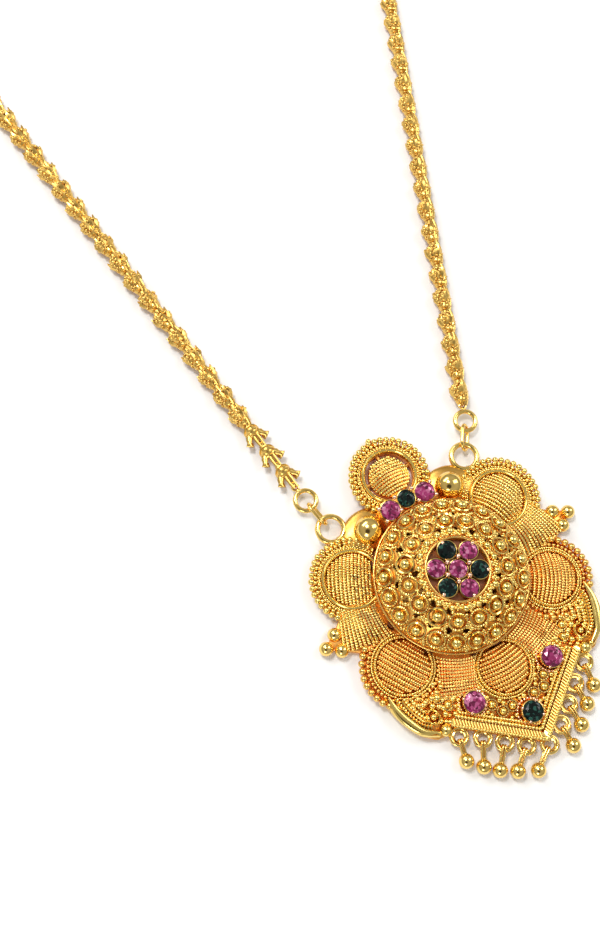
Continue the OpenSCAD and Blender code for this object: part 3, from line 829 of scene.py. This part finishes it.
def field():
    """Small rosettes between the lower stones, on a staggered grid, with granules round them."""
    piece = Piece("pendant_field", "beads")
    rosettes = [(x, y) for x, y, _, _ in staggered(10, 8, -23.9, FIELD_PITCH, 0.25, (5, 3))
                if in_field(x, y, 0.12)]
    for x, y in rosettes:
        ring = circle(FIELD_RING_R, 30, PLATE_H + 0.3) + (x, y, 0)
        piece.beaded(ring, 0.14, FINE_STEP, FINE_NOTCH, 6, True)
        piece.ball((x, y, PLATE_H + 0.5), FIELD_BALL_R, MEDIUM)
    for x, y, column, row in staggered(24, 20, -24.6, FIELD_STEP, 0.12, (1, 17)):
        if in_field(x, y, -0.25) and all(math.hypot(x - u, y - v) >= 1.12 for u, v in rosettes):
            size = 0.33 + 0.24 * abs(jitter(9 * column + row))
            piece.ball((x, y, PLATE_H + 0.22), size)
    piece.make()


# Right half of the lower edge
V_TIP = np.array([0, -26.3])
V_END = np.array([10.6, -18.1])
# Band along the lower edge: distances outwards from its line, and heights of its two edges
BAND_OUTER = 0.78
BAND_INNER = -0.05
BAND_HIGH = PLATE_H + 1.1
BAND_LOW = PLATE_H + 0.75
BAND_RIB_STEP = 0.44
BAND_RIB_R = 0.21
# How far the winding of the band leans along it
BAND_RIB_LEAN = 0.16
# Ropes inside the band: offset inwards from its line, radius, pitch of the winding, height, and
# how much shorter they are at the far end
ROPES = [(0.48, 0.42, 0.5, 0.5, 0.15), (1.12, 0.32, 0.44, 0.3, 0.55)]
V_TIP_BALLS = [(0, -27.2), (-0.5, -26.9), (0.5, -26.9)]


def v_border():
    """Wound band along the lower edge, which slopes inwards, and two ropes inside it."""
    bright = Piece("pendant_v_band", "band")
    ropes = Piece("pendant_v_ropes", "beads")
    way = unit(V_END - V_TIP)
    inward = np.array([-way[1], way[0]])
    length = np.linalg.norm(V_END - V_TIP)
    ends = (0, length + 0.3)
    for side in SIDES:
        flip = np.array([side, 1, 1])

        def place(along, out, z):
            # The two halves meet at a mitre below the tip
            flat = V_TIP + way * (along - 0.72 * out if along == 0 else along) - inward * out
            return np.array([flat[0], flat[1], z]) * flip

        bright.loft([[place(along, BAND_OUTER, 0.1), place(along, BAND_OUTER, BAND_HIGH),
                      place(along, BAND_INNER, BAND_LOW), place(along, BAND_INNER, 0.1)]
                     for along in ends])
        for k in range(int(length / BAND_RIB_STEP)):
            along = 0.5 + k * BAND_RIB_STEP
            bright.tube([place(along - BAND_RIB_LEAN, BAND_OUTER, BAND_HIGH),
                         place(along + BAND_RIB_LEAN, BAND_INNER, BAND_LOW)], BAND_RIB_R, 8)
        edge = [place(along, BAND_OUTER + 0.1, BAND_HIGH - 0.2) for along in ends]
        bright.beaded(edge, 0.24, 0.44, 0.35, 8)
        for offset, r, pitch, z, short in ROPES:
            a = (V_TIP + offset * inward + way * offset * 0.8) * flip[:2]
            b = (V_END + offset * inward - way * short) * flip[:2]
            ropes.beaded([(*a, PLATE_H + z), (*b, PLATE_H + z)], r, pitch, 0.34, 10)
    bright.make()
    for x, y in V_TIP_BALLS:
        ropes.ball((x, y, PLATE_H + 0.75), 0.42)
    ropes.make()


SCROLL_OUTER = [(17.75, -10.6), (17.7, -13), (17.0, -15.4), (15.7, -17.7), (13.6, -19.1)]
# Heart of each corner, towards which its wires step inwards
SCROLL_HEART = np.array([11.6, -12.6, PLATE_H])
# Inset from the edge, radius, pitch and height of the wound wires, and the share of the
# edge's length each one covers
SCROLL_WIRES = [(1.32, 0.56, 0.5, 0.5, 0.06, 0.95), (2.35, 0.52, 0.5, 0.5, 0.1, 0.88),
                (3.15, 0.34, 0.44, 0.55, 0.16, 0.8)]
# Inset, height and half width in the middle of the smooth leaf along the edge
SCROLL_LEAF = (0.42, 1.05, 0.52)
SCROLL_CURL = np.array([13.0, -16.4, PLATE_H + 0.6])
SCROLL_BALLS = [(12.3, -18.9, 0.95), (11.15, -18.25, 0.5), (13.45, -18.8, 0.45),
                (12.35, -17.4, 0.5), (11.2, -16.9, 0.5), (14.5, -13.4, 0.5), (13.4, -14.2, 0.5),
                (12.3, -15.0, 0.55), (11.3, -15.6, 0.42), (15.2, -12.5, 0.42),
                (13.6, -13.1, 0.42), (12.6, -13.9, 0.42), (11.5, -14.5, 0.42)]
# Granules round a point below the heart: how many, and how far they spread
SCROLL_GRANULES = 44
SCROLL_SPREAD = 3.4


def scrolls():
    """Corners under the lower petals: a smooth edge, wound wires inside it, a curl and balls."""
    ribbon = Piece("pendant_scroll_ribbons", "bright")
    weave = Piece("pendant_scroll_weave", "beads")
    outer = smooth_path([(x, y, PLATE_H) for x, y in SCROLL_OUTER], 10)
    way = (SCROLL_HEART - outer) * (1, 1, 0)
    way /= np.linalg.norm(way, axis=1, keepdims=True)
    for side in SIDES:
        flip = np.array([side, 1, 1])
        ribbon.tube(outer * flip, 0.26, 8, flat=3.2)
        for inset, r, pitch, z, start, end in SCROLL_WIRES:
            inside = outer + way * inset + UP * z
            part = inside[int(start * len(inside)):int(end * len(inside))]
            weave.beaded(part * flip, r, pitch, 0.4, 8)
        inset, z, half = SCROLL_LEAF
        swell = 0.12 + half * np.sin(np.linspace(0, math.pi, len(outer)))
        ribbon.tube((outer + way * inset + UP * z) * flip, swell, 10, flat=0.4)
        ribbon.tube((outer + way * 1.85 + UP * 0.85)[6:-5] * flip, 0.2, 8, flat=1.6)
        ribbon.tube((arc(0.85, 60, 400, 30) * (1, 1.25, 1) + SCROLL_CURL) * flip, 0.2, 8, flat=1.5)
        weave.ball((SCROLL_CURL + UP * 0.1) * flip, 0.5, MEDIUM)
        for x, y, r in SCROLL_BALLS:
            weave.ball((side * x, y, PLATE_H + 0.3), r, ball_shape(18, 11))
        for k in range(SCROLL_GRANULES):
            r = SCROLL_SPREAD * math.sqrt((k + 0.5) / SCROLL_GRANULES)
            at = SCROLL_HEART + (r * math.cos(2.4 * k), r * math.sin(2.4 * k) - 2.2, 0.1)
            if not in_wedge(at[0], at[1]):
                weave.ball(at * flip, 0.42 + 0.2 * jitter(k))
    ribbon.make()
    weave.make()


# Plan of the balls on the right side: on the shoulder and at the wing's tip
SHOULDER_BALL = (7.25, 12.1)
SHOULDER_BALL_R = 2.2
WING_BALLS = [(19.5, 1.0), (19.7, -1.55), (21.6, -0.2)]
WING_BALL_R = 1.08
# Mound that carries the shoulder's ball: place, half sizes and turn
MOUND = (7.9, 12.2)
MOUND_HALF = (4.3, 3.2, 1.0)
MOUND_TURN = -24


def large_balls():
    piece = Piece("pendant_balls", "polished")
    shoulders = Piece("pendant_shoulders", "shoulder")
    wing_ball, mound = ball_shape(24, 14), ball_shape(48, 24)
    for side in SIDES:
        x, y = SHOULDER_BALL
        piece.ball((side * x, y, PLATE_H + 1.0), SHOULDER_BALL_R, LARGE)
        for x, y in WING_BALLS:
            piece.ball((side * x, y, WING_BALL_R), WING_BALL_R, wing_ball)
        points = mound[0] * MOUND_HALF @ turn_z(side * MOUND_TURN).T
        points[:, 2] = np.maximum(points[:, 2], -0.6)
        shoulders.add(points, mound[1], (side * MOUND[0], MOUND[1], PLATE_H - 0.2))
    piece.make()
    shoulders.make()


# Prongs between the stones on the dome: distance, first direction, height and radius
CLUSTER_PRONGS = [(1.86, 0, 0.35, 0.38), (4.42, 30, 0.1, 0.34)]
TOP_PRONGS = [(1.55, 12.15), (1.5, 14.35), (4.35, 11.7), (4.5, 13.9)]
TIP_BALLS = [(0.15, 24.35), (-0.75, 23.7), (0.85, 23.75), (0.1, 23.4)]


def settings():
    """Thin rims and prong balls round the stones."""
    cups = Piece("stone_cups", "bright")
    prongs = Piece("stone_prongs", "prong")
    for _, (x, y), r, girdle, _ in STONES:
        foot = COLLAR_FLOOR_Z - 0.1 if girdle == CLUSTER_GIRDLE_Z else PLATE_H - 0.1
        cups.lathe_ring([(r + 0.12, foot), (r + 0.24, foot), (r + 0.21, girdle + 0.14),
                         (r + 0.12, girdle + 0.18)], 36, (x, y, 0))
    for i in range(6):
        for out, start, lift, r in CLUSTER_PRONGS:
            prongs.ball(polar(out, 60 * i + start, CLUSTER_GIRDLE_Z + lift), r)
    for x, y in TOP_PRONGS:
        for side in SIDES:
            prongs.ball((side * x, y, TOP_GIRDLE_Z + 0.15), 0.36)
    for _, (x, y), r, girdle, _ in LOWER_STONES:
        for i in range(4):
            prongs.ball(polar(r + 0.16, 45 + 90 * i, girdle + 0.14) + (x, y, 0), 0.26, TINY)
        prongs.beads(circle(r + 0.55, 40, PLATE_H + 0.3) + (x, y, 0), 0.24, 0.5)
    cups.make()
    prongs.make()


def top_petal_tip():
    """Small cluster of balls above the top petal, each on a post."""
    piece = Piece("pendant_tip_clusters", "beads")
    for x, y in TIP_BALLS:
        piece.ball((x, y, PLATE_H), 0.42)
        piece.lathe([(0.36, 0.2), (0.44, 0.5), (0.44, PLATE_H)], 10, (x, y, 0))
    piece.make()


HANGER_R = 2.0
HANGER_WIRE_R = 0.4
HANGER_FOOT = [(0.6, 0.1), (0.7, 0.4), (0.7, 1.1), (0.45, 1.5)]
FRINGE_RING_R = 1.24
FRINGE_WIRE_R = 0.27
# Largest lean of a fringe ring, in degrees, over the width of the jitter
FRINGE_LEAN = 10


def hangers():
    """Rings that carry the chain, each with a thin wire round it and a foot."""
    piece = Piece("hanger_rings", "polished")
    for side in SIDES:
        at = np.array([side * HANGER_AT[0], HANGER_AT[1], CHAIN_Z])
        piece.ring(at, HANGER_R, HANGER_WIRE_R, None, 56, 12)
        piece.ring(at + UP * 0.02, HANGER_R + 0.3, 0.14, None, 56, 6)
        piece.lathe(HANGER_FOOT, 20, (at[0] - side * 0.4, at[1] - 2.1, 0))
    piece.make()


def fringe_rings():
    """Rings that carry the drops, each with a thin ring inside it."""
    rings = Piece("fringe_rings", "polished")
    for k, ((x, y), _) in enumerate(FRINGE):
        lean = turn_x(FRINGE_LEAN * jitter(k)) @ turn_y(FRINGE_LEAN * jitter(k + 20))
        rings.ring((x, y, BEAD_R + 0.1), FRINGE_RING_R, FRINGE_WIRE_R, lean, 36, 9)
        rings.ring((x, y, BEAD_R + 0.05), FRINGE_RING_R - 0.4, 0.17, lean, 30, 7)
    rings.make()


# Stones

# Radius as a share of the stone's, number of corners, height, and turn of each level
CUT_LEVELS = [(0.56, 8, 0.42, 22.5), (0.8, 8, 0.27, 0), (1.0, 16, 0.13, 0), (1.0, 16, 0.0, 0),
              (0.5, 8, -0.38, 22.5)]
CUT_TIP = (0, 0, -0.5)


def brilliant(name, at, r, girdle, colour):
    """Round cut stone: table, eight kites, girdle and pavilion."""
    piece = Piece(f"{name}_cut", colour, name)
    levels = [circle(share * r * 1.05, n, z, turn) for share, n, z, turn in CUT_LEVELS]
    points = np.vstack([*levels, [CUT_TIP]])
    # First point of the table, crown, upper girdle, lower girdle and pavilion, and the tip
    t, m, g, w, b, p = 0, 8, 16, 32, 48, 56
    faces = [tuple(range(8))]
    for i in range(8):
        k = (i + 1) % 8
        near, side, far = 2 * i, 2 * i + 1, (2 * i + 2) % 16
        faces += [(m + i, t + (i - 1) % 8, t + i), (m + i, m + k, t + i),
                  (m + i, g + near, g + side), (m + i, g + side, m + k),
                  (m + k, g + side, g + far), (w + near, b + i, w + side),
                  (w + side, b + i, w + far), (w + far, b + i, b + k), (b + k, b + i, p)]
    for i in range(16):
        k = (i + 1) % 16
        faces.append((g + i, w + i, w + k, g + k))
    piece.add(points, faces, (*at, girdle))
    piece.make().data.shade_flat()


# Drops

# Loop of wire that hangs in the fringe ring: its radius, its distance from the ring's centre,
# and its two strands' radius and distance to each side
DROP_EYE = 0.45
DROP_NEAR = 0.42
DROP_WIRE_R = 0.17
DROP_SPLIT = 0.19


def drop(i):
    ring_at, bead_at = FRINGE[i]
    piece = Piece(f"drop_look_{i + 1}", "polished", f"drop_{i + 1}")
    start, bead = np.array([*ring_at, BEAD_R]), np.array([*bead_at, BEAD_R])
    way, reach = unit(bead - start), np.linalg.norm(bead - start)
    piece.move(start, np.column_stack([way, UP, np.cross(way, UP)]))
    piece.ball((reach, 0, 0), BEAD_R + 0.06, LARGE)
    piece.ball((reach - 1.02, 0, 0), 0.46, SMALL, 0.8)
    loop = arc(DROP_EYE, 90, 270, 13) + (DROP_NEAR + DROP_EYE, 0, 0)
    upper, lower = [(reach - 0.9, DROP_EYE * share, 0) for share in (0.5, -0.5)]
    for split in (-DROP_SPLIT, DROP_SPLIT):
        piece.tube(np.vstack([upper, loop, lower]) + UP * split, DROP_WIRE_R, 8)
    piece.make()


# Chain

def heading(lean):
    return np.array([math.sin(math.radians(lean)), math.cos(math.radians(lean))])


def cross2(a, b):
    return a[0] * b[1] - a[1] * b[0]


RING_AT = {side: HANGER_AT * (side, 1) + RING_STEP * heading(lean)
           for side, lean in RING_LEANS.items()}


class Loop:
    """The plan of the chain: two straight strands, and a round end tangent to both."""

    def __init__(self):
        ways = {side: heading(lean) for side, lean in LEANS.items()}
        self.starts = {side: RING_AT[side] + RING_TO_JOINT * ways[side] for side in SIDES}
        across = self.starts[1] - self.starts[-1]
        left_reach = cross2(across, ways[1]) / cross2(ways[-1], ways[1])
        apex = self.starts[-1] + left_reach * ways[-1]
        half = math.radians((LEANS[1] - LEANS[-1]) / 2)
        tangent = LOOP_END_R / math.tan(half)
        self.axis_lean = (LEANS[1] + LEANS[-1]) / 2
        self.centre = apex + LOOP_END_R / math.sin(half) * heading(self.axis_lean)
        self.straights = {-1: tangent + left_reach,
                          1: tangent - np.linalg.norm(self.starts[1] - apex)}
        self.end_arc = LOOP_END_R * (math.pi / 2 + half)

    def run(self, side):
        return self.straights[side] + self.end_arc - CLASP_HALF

    def lean(self, side, s):
        turned = math.degrees(max(0, s - self.straights[side]) / LOOP_END_R)
        return LEANS[side] - side * turned

    def at(self, side, s):
        if s < self.straights[side]:
            flat = self.starts[side] + s * heading(LEANS[side])
        else:
            lean = math.radians(self.lean(side, s))
            flat = self.centre + side * LOOP_END_R * np.array([math.cos(lean), -math.sin(lean)])
        return np.array([*flat, CHAIN_Z])


LOOP = Loop()
EYE_R = 0.48
EYE_WIRE_R = 0.19
# Links with pointed leaves at the pendant's end of the left run
LEAFED_LINKS = 3
# Largest roll of a link, in degrees, over the width of the jitter
LINK_ROLL = 50
# Profile of a link's cup, as radius and distance from its first joint
CUP = [(0.1, -0.1), (0.72, 0.0), (0.95, 0.35), (1.05, 0.75), (0.95, 1.1), (1.08, 1.5),
       (1.2, 2.0), (1.22, 2.45), (1.1, 2.8), (0.95, 3.05), (0.85, 3.4), (0.72, 3.9), (0.1, 4.0)]
# Bands round the cup: lean in degrees, distance from the first joint, radius
CUP_BANDS = [(24, 0.7, 1.0), (-22, 1.35, 1.02), (14, 1.95, 1.2)]
# Path of a strand past the cup: share of the link's pitch, distance outwards
STRAND = [(-0.08, 0.7), (0.12, 1.02), (0.4, 1.2), (0.7, 1.18), (0.9, 0.98), (1.08, 0.7)]
# Turns round the chain, in degrees, of the strands and leaves of each run, and of the flower
STRAND_TURNS = {-1: (2, 26, 50), 1: (24, 50, 74)}
LEAF_TURNS = {-1: range(15, 336, 40), 1: range(90, 271, 30)}
FLOWER_TURN = -48
# Radius and reach of a strand on each run
STRAND_SIZE = {-1: (0.19, 0.93), 1: (0.17, 0.88)}
# Radius, reach and distance from the link's first joint of a leaf's tip on each run
LEAF_TIP = {-1: (0.1, 1.5, 3.1), 1: (0.27, 1.38, 2.75)}
# Grains low on the cup: how many, the first one's turn, and the turn between them
CUP_GRAINS = 6
CUP_GRAIN_START = -85
CUP_GRAIN_STEP = 24


def link(piece, a, b, index, side):
    """Flower bud of a link: wound foot, cup, ragged crown, and wires to the next link."""
    x, y, _ = b - a
    pitch = math.hypot(x, y)
    axes = turn_z(math.degrees(math.atan2(y, x)) - 90)
    roll = turn_y(LINK_ROLL * jitter(index))
    piece.move(a, axes)
    piece.ring(AHEAD * EYE_R / 2, EYE_R, EYE_WIRE_R, turn_y(90), 12, 6)
    piece.ring(AHEAD * (pitch - EYE_R / 2), EYE_R, EYE_WIRE_R, None, 12, 6)
    if index < LEAFED_LINKS:
        fishtail(piece, roll if index else np.eye(3))
        return
    piece.move(a, axes @ roll)
    piece.lathe(CUP, 12, axes=turn_x(-90))
    for lean, y, r in CUP_BANDS:
        piece.ring((0, y, 0), r, 0.17, turn_x(lean - 90), 14, 4)
    crown(piece, pitch, index, side)


def crown(piece, pitch, index, side):
    """Leaves and grains round the cup, strands past it on one side, a flower on the other."""
    tip_r, tip_reach, tip_y = LEAF_TIP[side]
    for i, degrees in enumerate(LEAF_TURNS[side]):
        k = index * 8 + i
        turn = turn_y(degrees + 14 * jitter(k))
        out, across = turn[:, 0], turn[:, 2]
        piece.tube([out * 0.85 + AHEAD * 1.3, out * 1.26 + AHEAD * 2.05,
                    out * (tip_reach + 0.25 * jitter(3 * k))
                    + AHEAD * (tip_y + 0.8 * jitter(7 * k))],
                   [0.25, 0.36, tip_r], 5, up=across, flat=1.25)
        piece.ball(out * 1.36 + across * 0.42 + AHEAD * (2.45 + 0.4 * jitter(k)), 0.3, GRAIN)
        piece.ball(out * 0.95 + across * 0.2 + AHEAD * (3.1 + 0.4 * jitter(5 * k)), 0.33, GRAIN)
    strand_r, size = STRAND_SIZE[side]
    for degrees in STRAND_TURNS[side]:
        out = turn_y(degrees) @ UP
        piece.tube([out * reach * size + AHEAD * share * pitch for share, reach in STRAND],
                   strand_r, 6, up=out)
    for i in range(CUP_GRAINS):
        turn = CUP_GRAIN_START + CUP_GRAIN_STEP * i + 10 * jitter(5 * (index * CUP_GRAINS + i))
        piece.ball(turn_y(turn) @ UP * 1.02 + AHEAD * (1.0 + 0.35 * (i % 2)), 0.29, GRAIN)
    spot = turn_y(FLOWER_TURN)
    heart = spot @ (0, 2.3 + 0.3 * jitter(index), 1.35)
    piece.ball(heart, 0.42)
    for degrees in range(0, 360, 60):
        petal_at = polar(0.62, degrees + 40 * jitter(index), -0.08)
        piece.ball(heart + spot @ petal_at, 0.31, GRAIN)


def fishtail(piece, roll):
    """One of the last links before the pendant: a wound ball with two pointed leaves."""
    head = AHEAD * 2.85
    piece.ball(head, 1.12, MEDIUM)
    for lean in (0, 50, -50):
        piece.ring(head, 1.1, 0.2, roll @ turn_x(lean - 90), 18, 6)
    piece.ring(head + (0.1, 0, 0.75), 0.55, 0.18, None, 16, 6)
    for x in (-0.36, 0.36):
        piece.tube([(x * 0.8, -0.4, 0.3), (x, 1.2, 0.42), (x * 0.9, 2.3, 0.6)], 0.24, 7)
    for x in (-1, 1):
        for z, reach in ((0.35, 1.7), (-0.4, 1.3)):
            piece.tube([(x * 0.6, 2.6, z), (x * 1.05, 2.05, z), (x * 1.3, 1.6, z),
                        (x * reach, 1.25, z), (x * reach * 0.8, 0.72, z)],
                       [0.35, 0.5, 0.36, 0.5, 0.04], 6, flat=0.6)
    piece.lathe([(0.1, 0.9), (0.4, 1.0), (0.5, 1.8), (0.8, 2.4), (0.1, 2.6)], 10,
                axes=turn_x(-90))


def node_piece(node, material="polished"):
    """Piece that takes the place of one node."""
    return Piece(f"{node}_look", material, node)


def chain(side):
    piece = node_piece(f"chain_{SIDES[side]}", "chain")
    run = LOOP.run(side)
    count = round(run / LINK_PITCH)
    joints = [LOOP.at(side, i * run / count) for i in range(count + 1)]
    # The right run draws other numbers, which also keeps it clear of the leafed links
    first = 0 if side < 0 else 1000
    for i in range(count):
        link(piece, joints[i], joints[i + 1], first + i, side)
    # What would reach below the table is flattened
    for points in piece.points:
        points[:, 2] = np.maximum(points[:, 2], 0.02)
    piece.make()


JUMP_R = 1.05
JUMP_HALF = 0.95
JUMP_WIRE_R = 0.27
JUMP_ROLLS = {-1: 65, 1: 57}
END_RING_R = 1.6
END_RING_WIRE_R = 0.38
CLASP_RING_R = 1.05
CLASP_RING_WIRE_R = 0.27
CLASP_RING_STEP = 1.88
HOOK_R = 1.1
HOOK_REACH = 3.2
HOOK_WIRE_R = 0.35


def jump_link(side):
    """Long oval link between a hanger and the chain's end ring."""
    piece = node_piece(f"jump_link_{SIDES[side]}")
    flat = HANGER_AT * (side, 1) + JUMP_STEP * heading(RING_LEANS[side])
    piece.move((*flat, CHAIN_Z), turn_z(-RING_LEANS[side]) @ turn_y(JUMP_ROLLS[side]))
    path = np.vstack([arc(JUMP_R, 0, 180, 17) + AHEAD * JUMP_HALF,
                      arc(JUMP_R, 180, 360, 17) - AHEAD * JUMP_HALF])
    piece.tube(path, JUMP_WIRE_R, 10, True)
    piece.make()


def end_ring(side):
    piece = node_piece(f"end_ring_{SIDES[side]}")
    piece.move((*RING_AT[side], CHAIN_Z))
    way = turn_z(-LEANS[side]) @ AHEAD
    piece.ring((0, 0, 0), END_RING_R, END_RING_WIRE_R, None, 48, 12)
    piece.ball(way * (RING_TO_JOINT - 0.95), 0.42)
    piece.ring(way * (RING_TO_JOINT - EYE_R / 2), EYE_R, EYE_WIRE_R, None, 20, 7)
    piece.make()


def clasp_ring(side):
    piece = node_piece(f"clasp_ring_{SIDES[side]}")
    run = LOOP.run(side)
    piece.move(LOOP.at(side, run), turn_z(-LOOP.lean(side, run)))
    piece.ring(AHEAD * EYE_R / 2, EYE_R, EYE_WIRE_R, turn_y(90), 20, 7)
    piece.ring(AHEAD * CLASP_RING_STEP, CLASP_RING_R, CLASP_RING_WIRE_R, turn_y(90), 36, 9)
    piece.make()


def clasp_hook():
    """Plain S-hook that joins the two runs."""
    piece = node_piece("clasp_hook")
    flat = LOOP.centre + LOOP_END_R * heading(LOOP.axis_lean)
    piece.move((*flat, CHAIN_Z), turn_z(-LOOP.axis_lean))
    right = arc(HOOK_R, -90, 90, 19) + (HOOK_REACH - HOOK_R, 0, 0)
    left = arc(HOOK_R, 90, 270, 19) - (HOOK_REACH - HOOK_R, 0, 0)
    bar = np.linspace(right[-1], left[-1], 8)[1:-1]
    path = np.vstack([right, bar, left[::-1]])
    piece.tube(path, HOOK_WIRE_R, 12)
    for end in (path[0], path[-1]):
        piece.ball(end, 0.45)
    piece.make()


# Stage

# Camera: turns in degrees and shift in millimetres from the pendant's axes to its own
CAMERA_TURN = (-16.03227165, 3.91460178, 29.69397794)
CAMERA_SHIFT = np.array([22.41384619, -17.07685153, -178.09854388])
FOCAL_PX = 1174.1356
IMAGE_H = 933
SENSOR_H = 24.0
FLOOR_HALF = 1.5
PAPER_STOPS = [(0.3, (0.9, 0.9, 0.9)), (0.7, (0.93, 0.93, 0.93))]
# Direction of the tent's dark opening, which the balls reflect below their glint
DARK_SIDE = (-0.36, -0.235, 0.903)
OPENING_STOPS = [(0.93, (1, 1, 1)), (0.965, (0.12, 0.1, 0.09))]
# Tones of the tent from the horizon upwards
TENT_STOPS = [(0.0, (0.42, 0.4, 0.36)), (0.3, (0.68, 0.66, 0.62)), (0.65, (0.82, 0.8, 0.76)),
              (0.95, (0.66, 0.64, 0.6))]
TENT_STRENGTH = 0.63
# Soft boxes: name, place from the disc and size in metres, power
SOFT_BOXES = [
    ("key", (-0.077, 0.29, 0.6), (0.13, 0.13), 2.0),
    ("back", (-0.1, 0.6, 0.45), (0.5, 0.2), 1.6),
    ("fill", (0.5, 0.0, 0.5), (0.25, 0.4), 1.4),
    ("low", (-0.5, -0.4, 0.4), (0.25, 0.25), 1.2),
]


def camera():
    """Camera of the photograph, fitted to the pendant's round and even features."""
    turn = turn_x(CAMERA_TURN[0]) @ turn_y(CAMERA_TURN[1]) @ turn_z(CAMERA_TURN[2])
    at = (-turn.T @ CAMERA_SHIFT + DISC_AT) * MM
    data = bpy.data.cameras.new("camera")
    data.sensor_fit = "VERTICAL"
    data.sensor_height = SENSOR_H
    data.lens = FOCAL_PX * SENSOR_H / IMAGE_H
    data.clip_start = 0.005
    data.clip_end = 20
    obj = new_object("camera", data)
    obj.matrix_world = Matrix.Translation(Vector(at)) @ Matrix(turn.T.tolist()).to_4x4()
    bpy.context.scene.camera = obj


def floor():
    mesh = bpy.data.meshes.new("floor")
    corners = [(x * FLOOR_HALF, y * FLOOR_HALF, 0)
               for x, y in ((-1, -1), (1, -1), (1, 1), (-1, 1))]
    mesh.from_pydata(corners, [], [(0, 1, 2, 3)])
    material = bpy.data.materials.new("paper")
    shading = Shading(material)
    shading.shade({"Base Color": shading.ramp(shading.noise(PAPER_SCALE), PAPER_STOPS),
                   "Roughness": 0.8})
    mesh.materials.append(material)
    new_object("floor", mesh)


def area_light(name, at, size, power):
    """Soft box that faces the pendant."""
    data = bpy.data.lights.new(name, "AREA")
    data.shape = "RECTANGLE"
    data.size, data.size_y = size
    data.energy = power
    obj = new_object(name, data)
    target = Vector(DISC_AT * MM)
    obj.location = target + Vector(at)
    obj.rotation_euler = (target - obj.location).to_track_quat("-Z", "Y").to_euler()


def lights():
    """Bright tent with a dark opening for the camera, and soft boxes."""
    world = bpy.data.worlds.new("studio")
    shading = Shading(world, "Background")
    place = shading.place("Generated")
    split = shading.node("SeparateXYZ", {"Vector": place})
    tent = shading.ramp(split.outputs["Z"], TENT_STOPS)
    nearness = shading.node("VectorMath", {0: place, 1: DARK_SIDE}, operation="DOT_PRODUCT")
    opening = shading.ramp(nearness.outputs["Value"], OPENING_STOPS)
    shading.shade({"Color": shading.multiply(tent, opening), "Strength": TENT_STRENGTH})
    bpy.context.scene.world = world
    for box in SOFT_BOXES:
        area_light(*box)


def main():
    for build in (camera, floor, lights, plate, disc_wall, dome, painted_shade_recess, dome_rosettes,
                  dome_granules, rim_wires):
        build()
    for spec in PETALS:
        petal(spec)
    for spec in WEDGES:
        for side in (1, -1):
            wedge(side, *spec)
    for build in (field, v_border, scrolls, large_balls, settings, top_petal_tip, hangers,
                  fringe_rings):
        build()
    for stone in STONES:
        brilliant(*stone)
    for i in range(len(FRINGE)):
        drop(i)
    for build in (jump_link, end_ring, chain, clasp_ring):
        for side in SIDES:
            build(side)
    clasp_hook()
    bpy.context.scene.view_settings.view_transform = "Standard"


main()
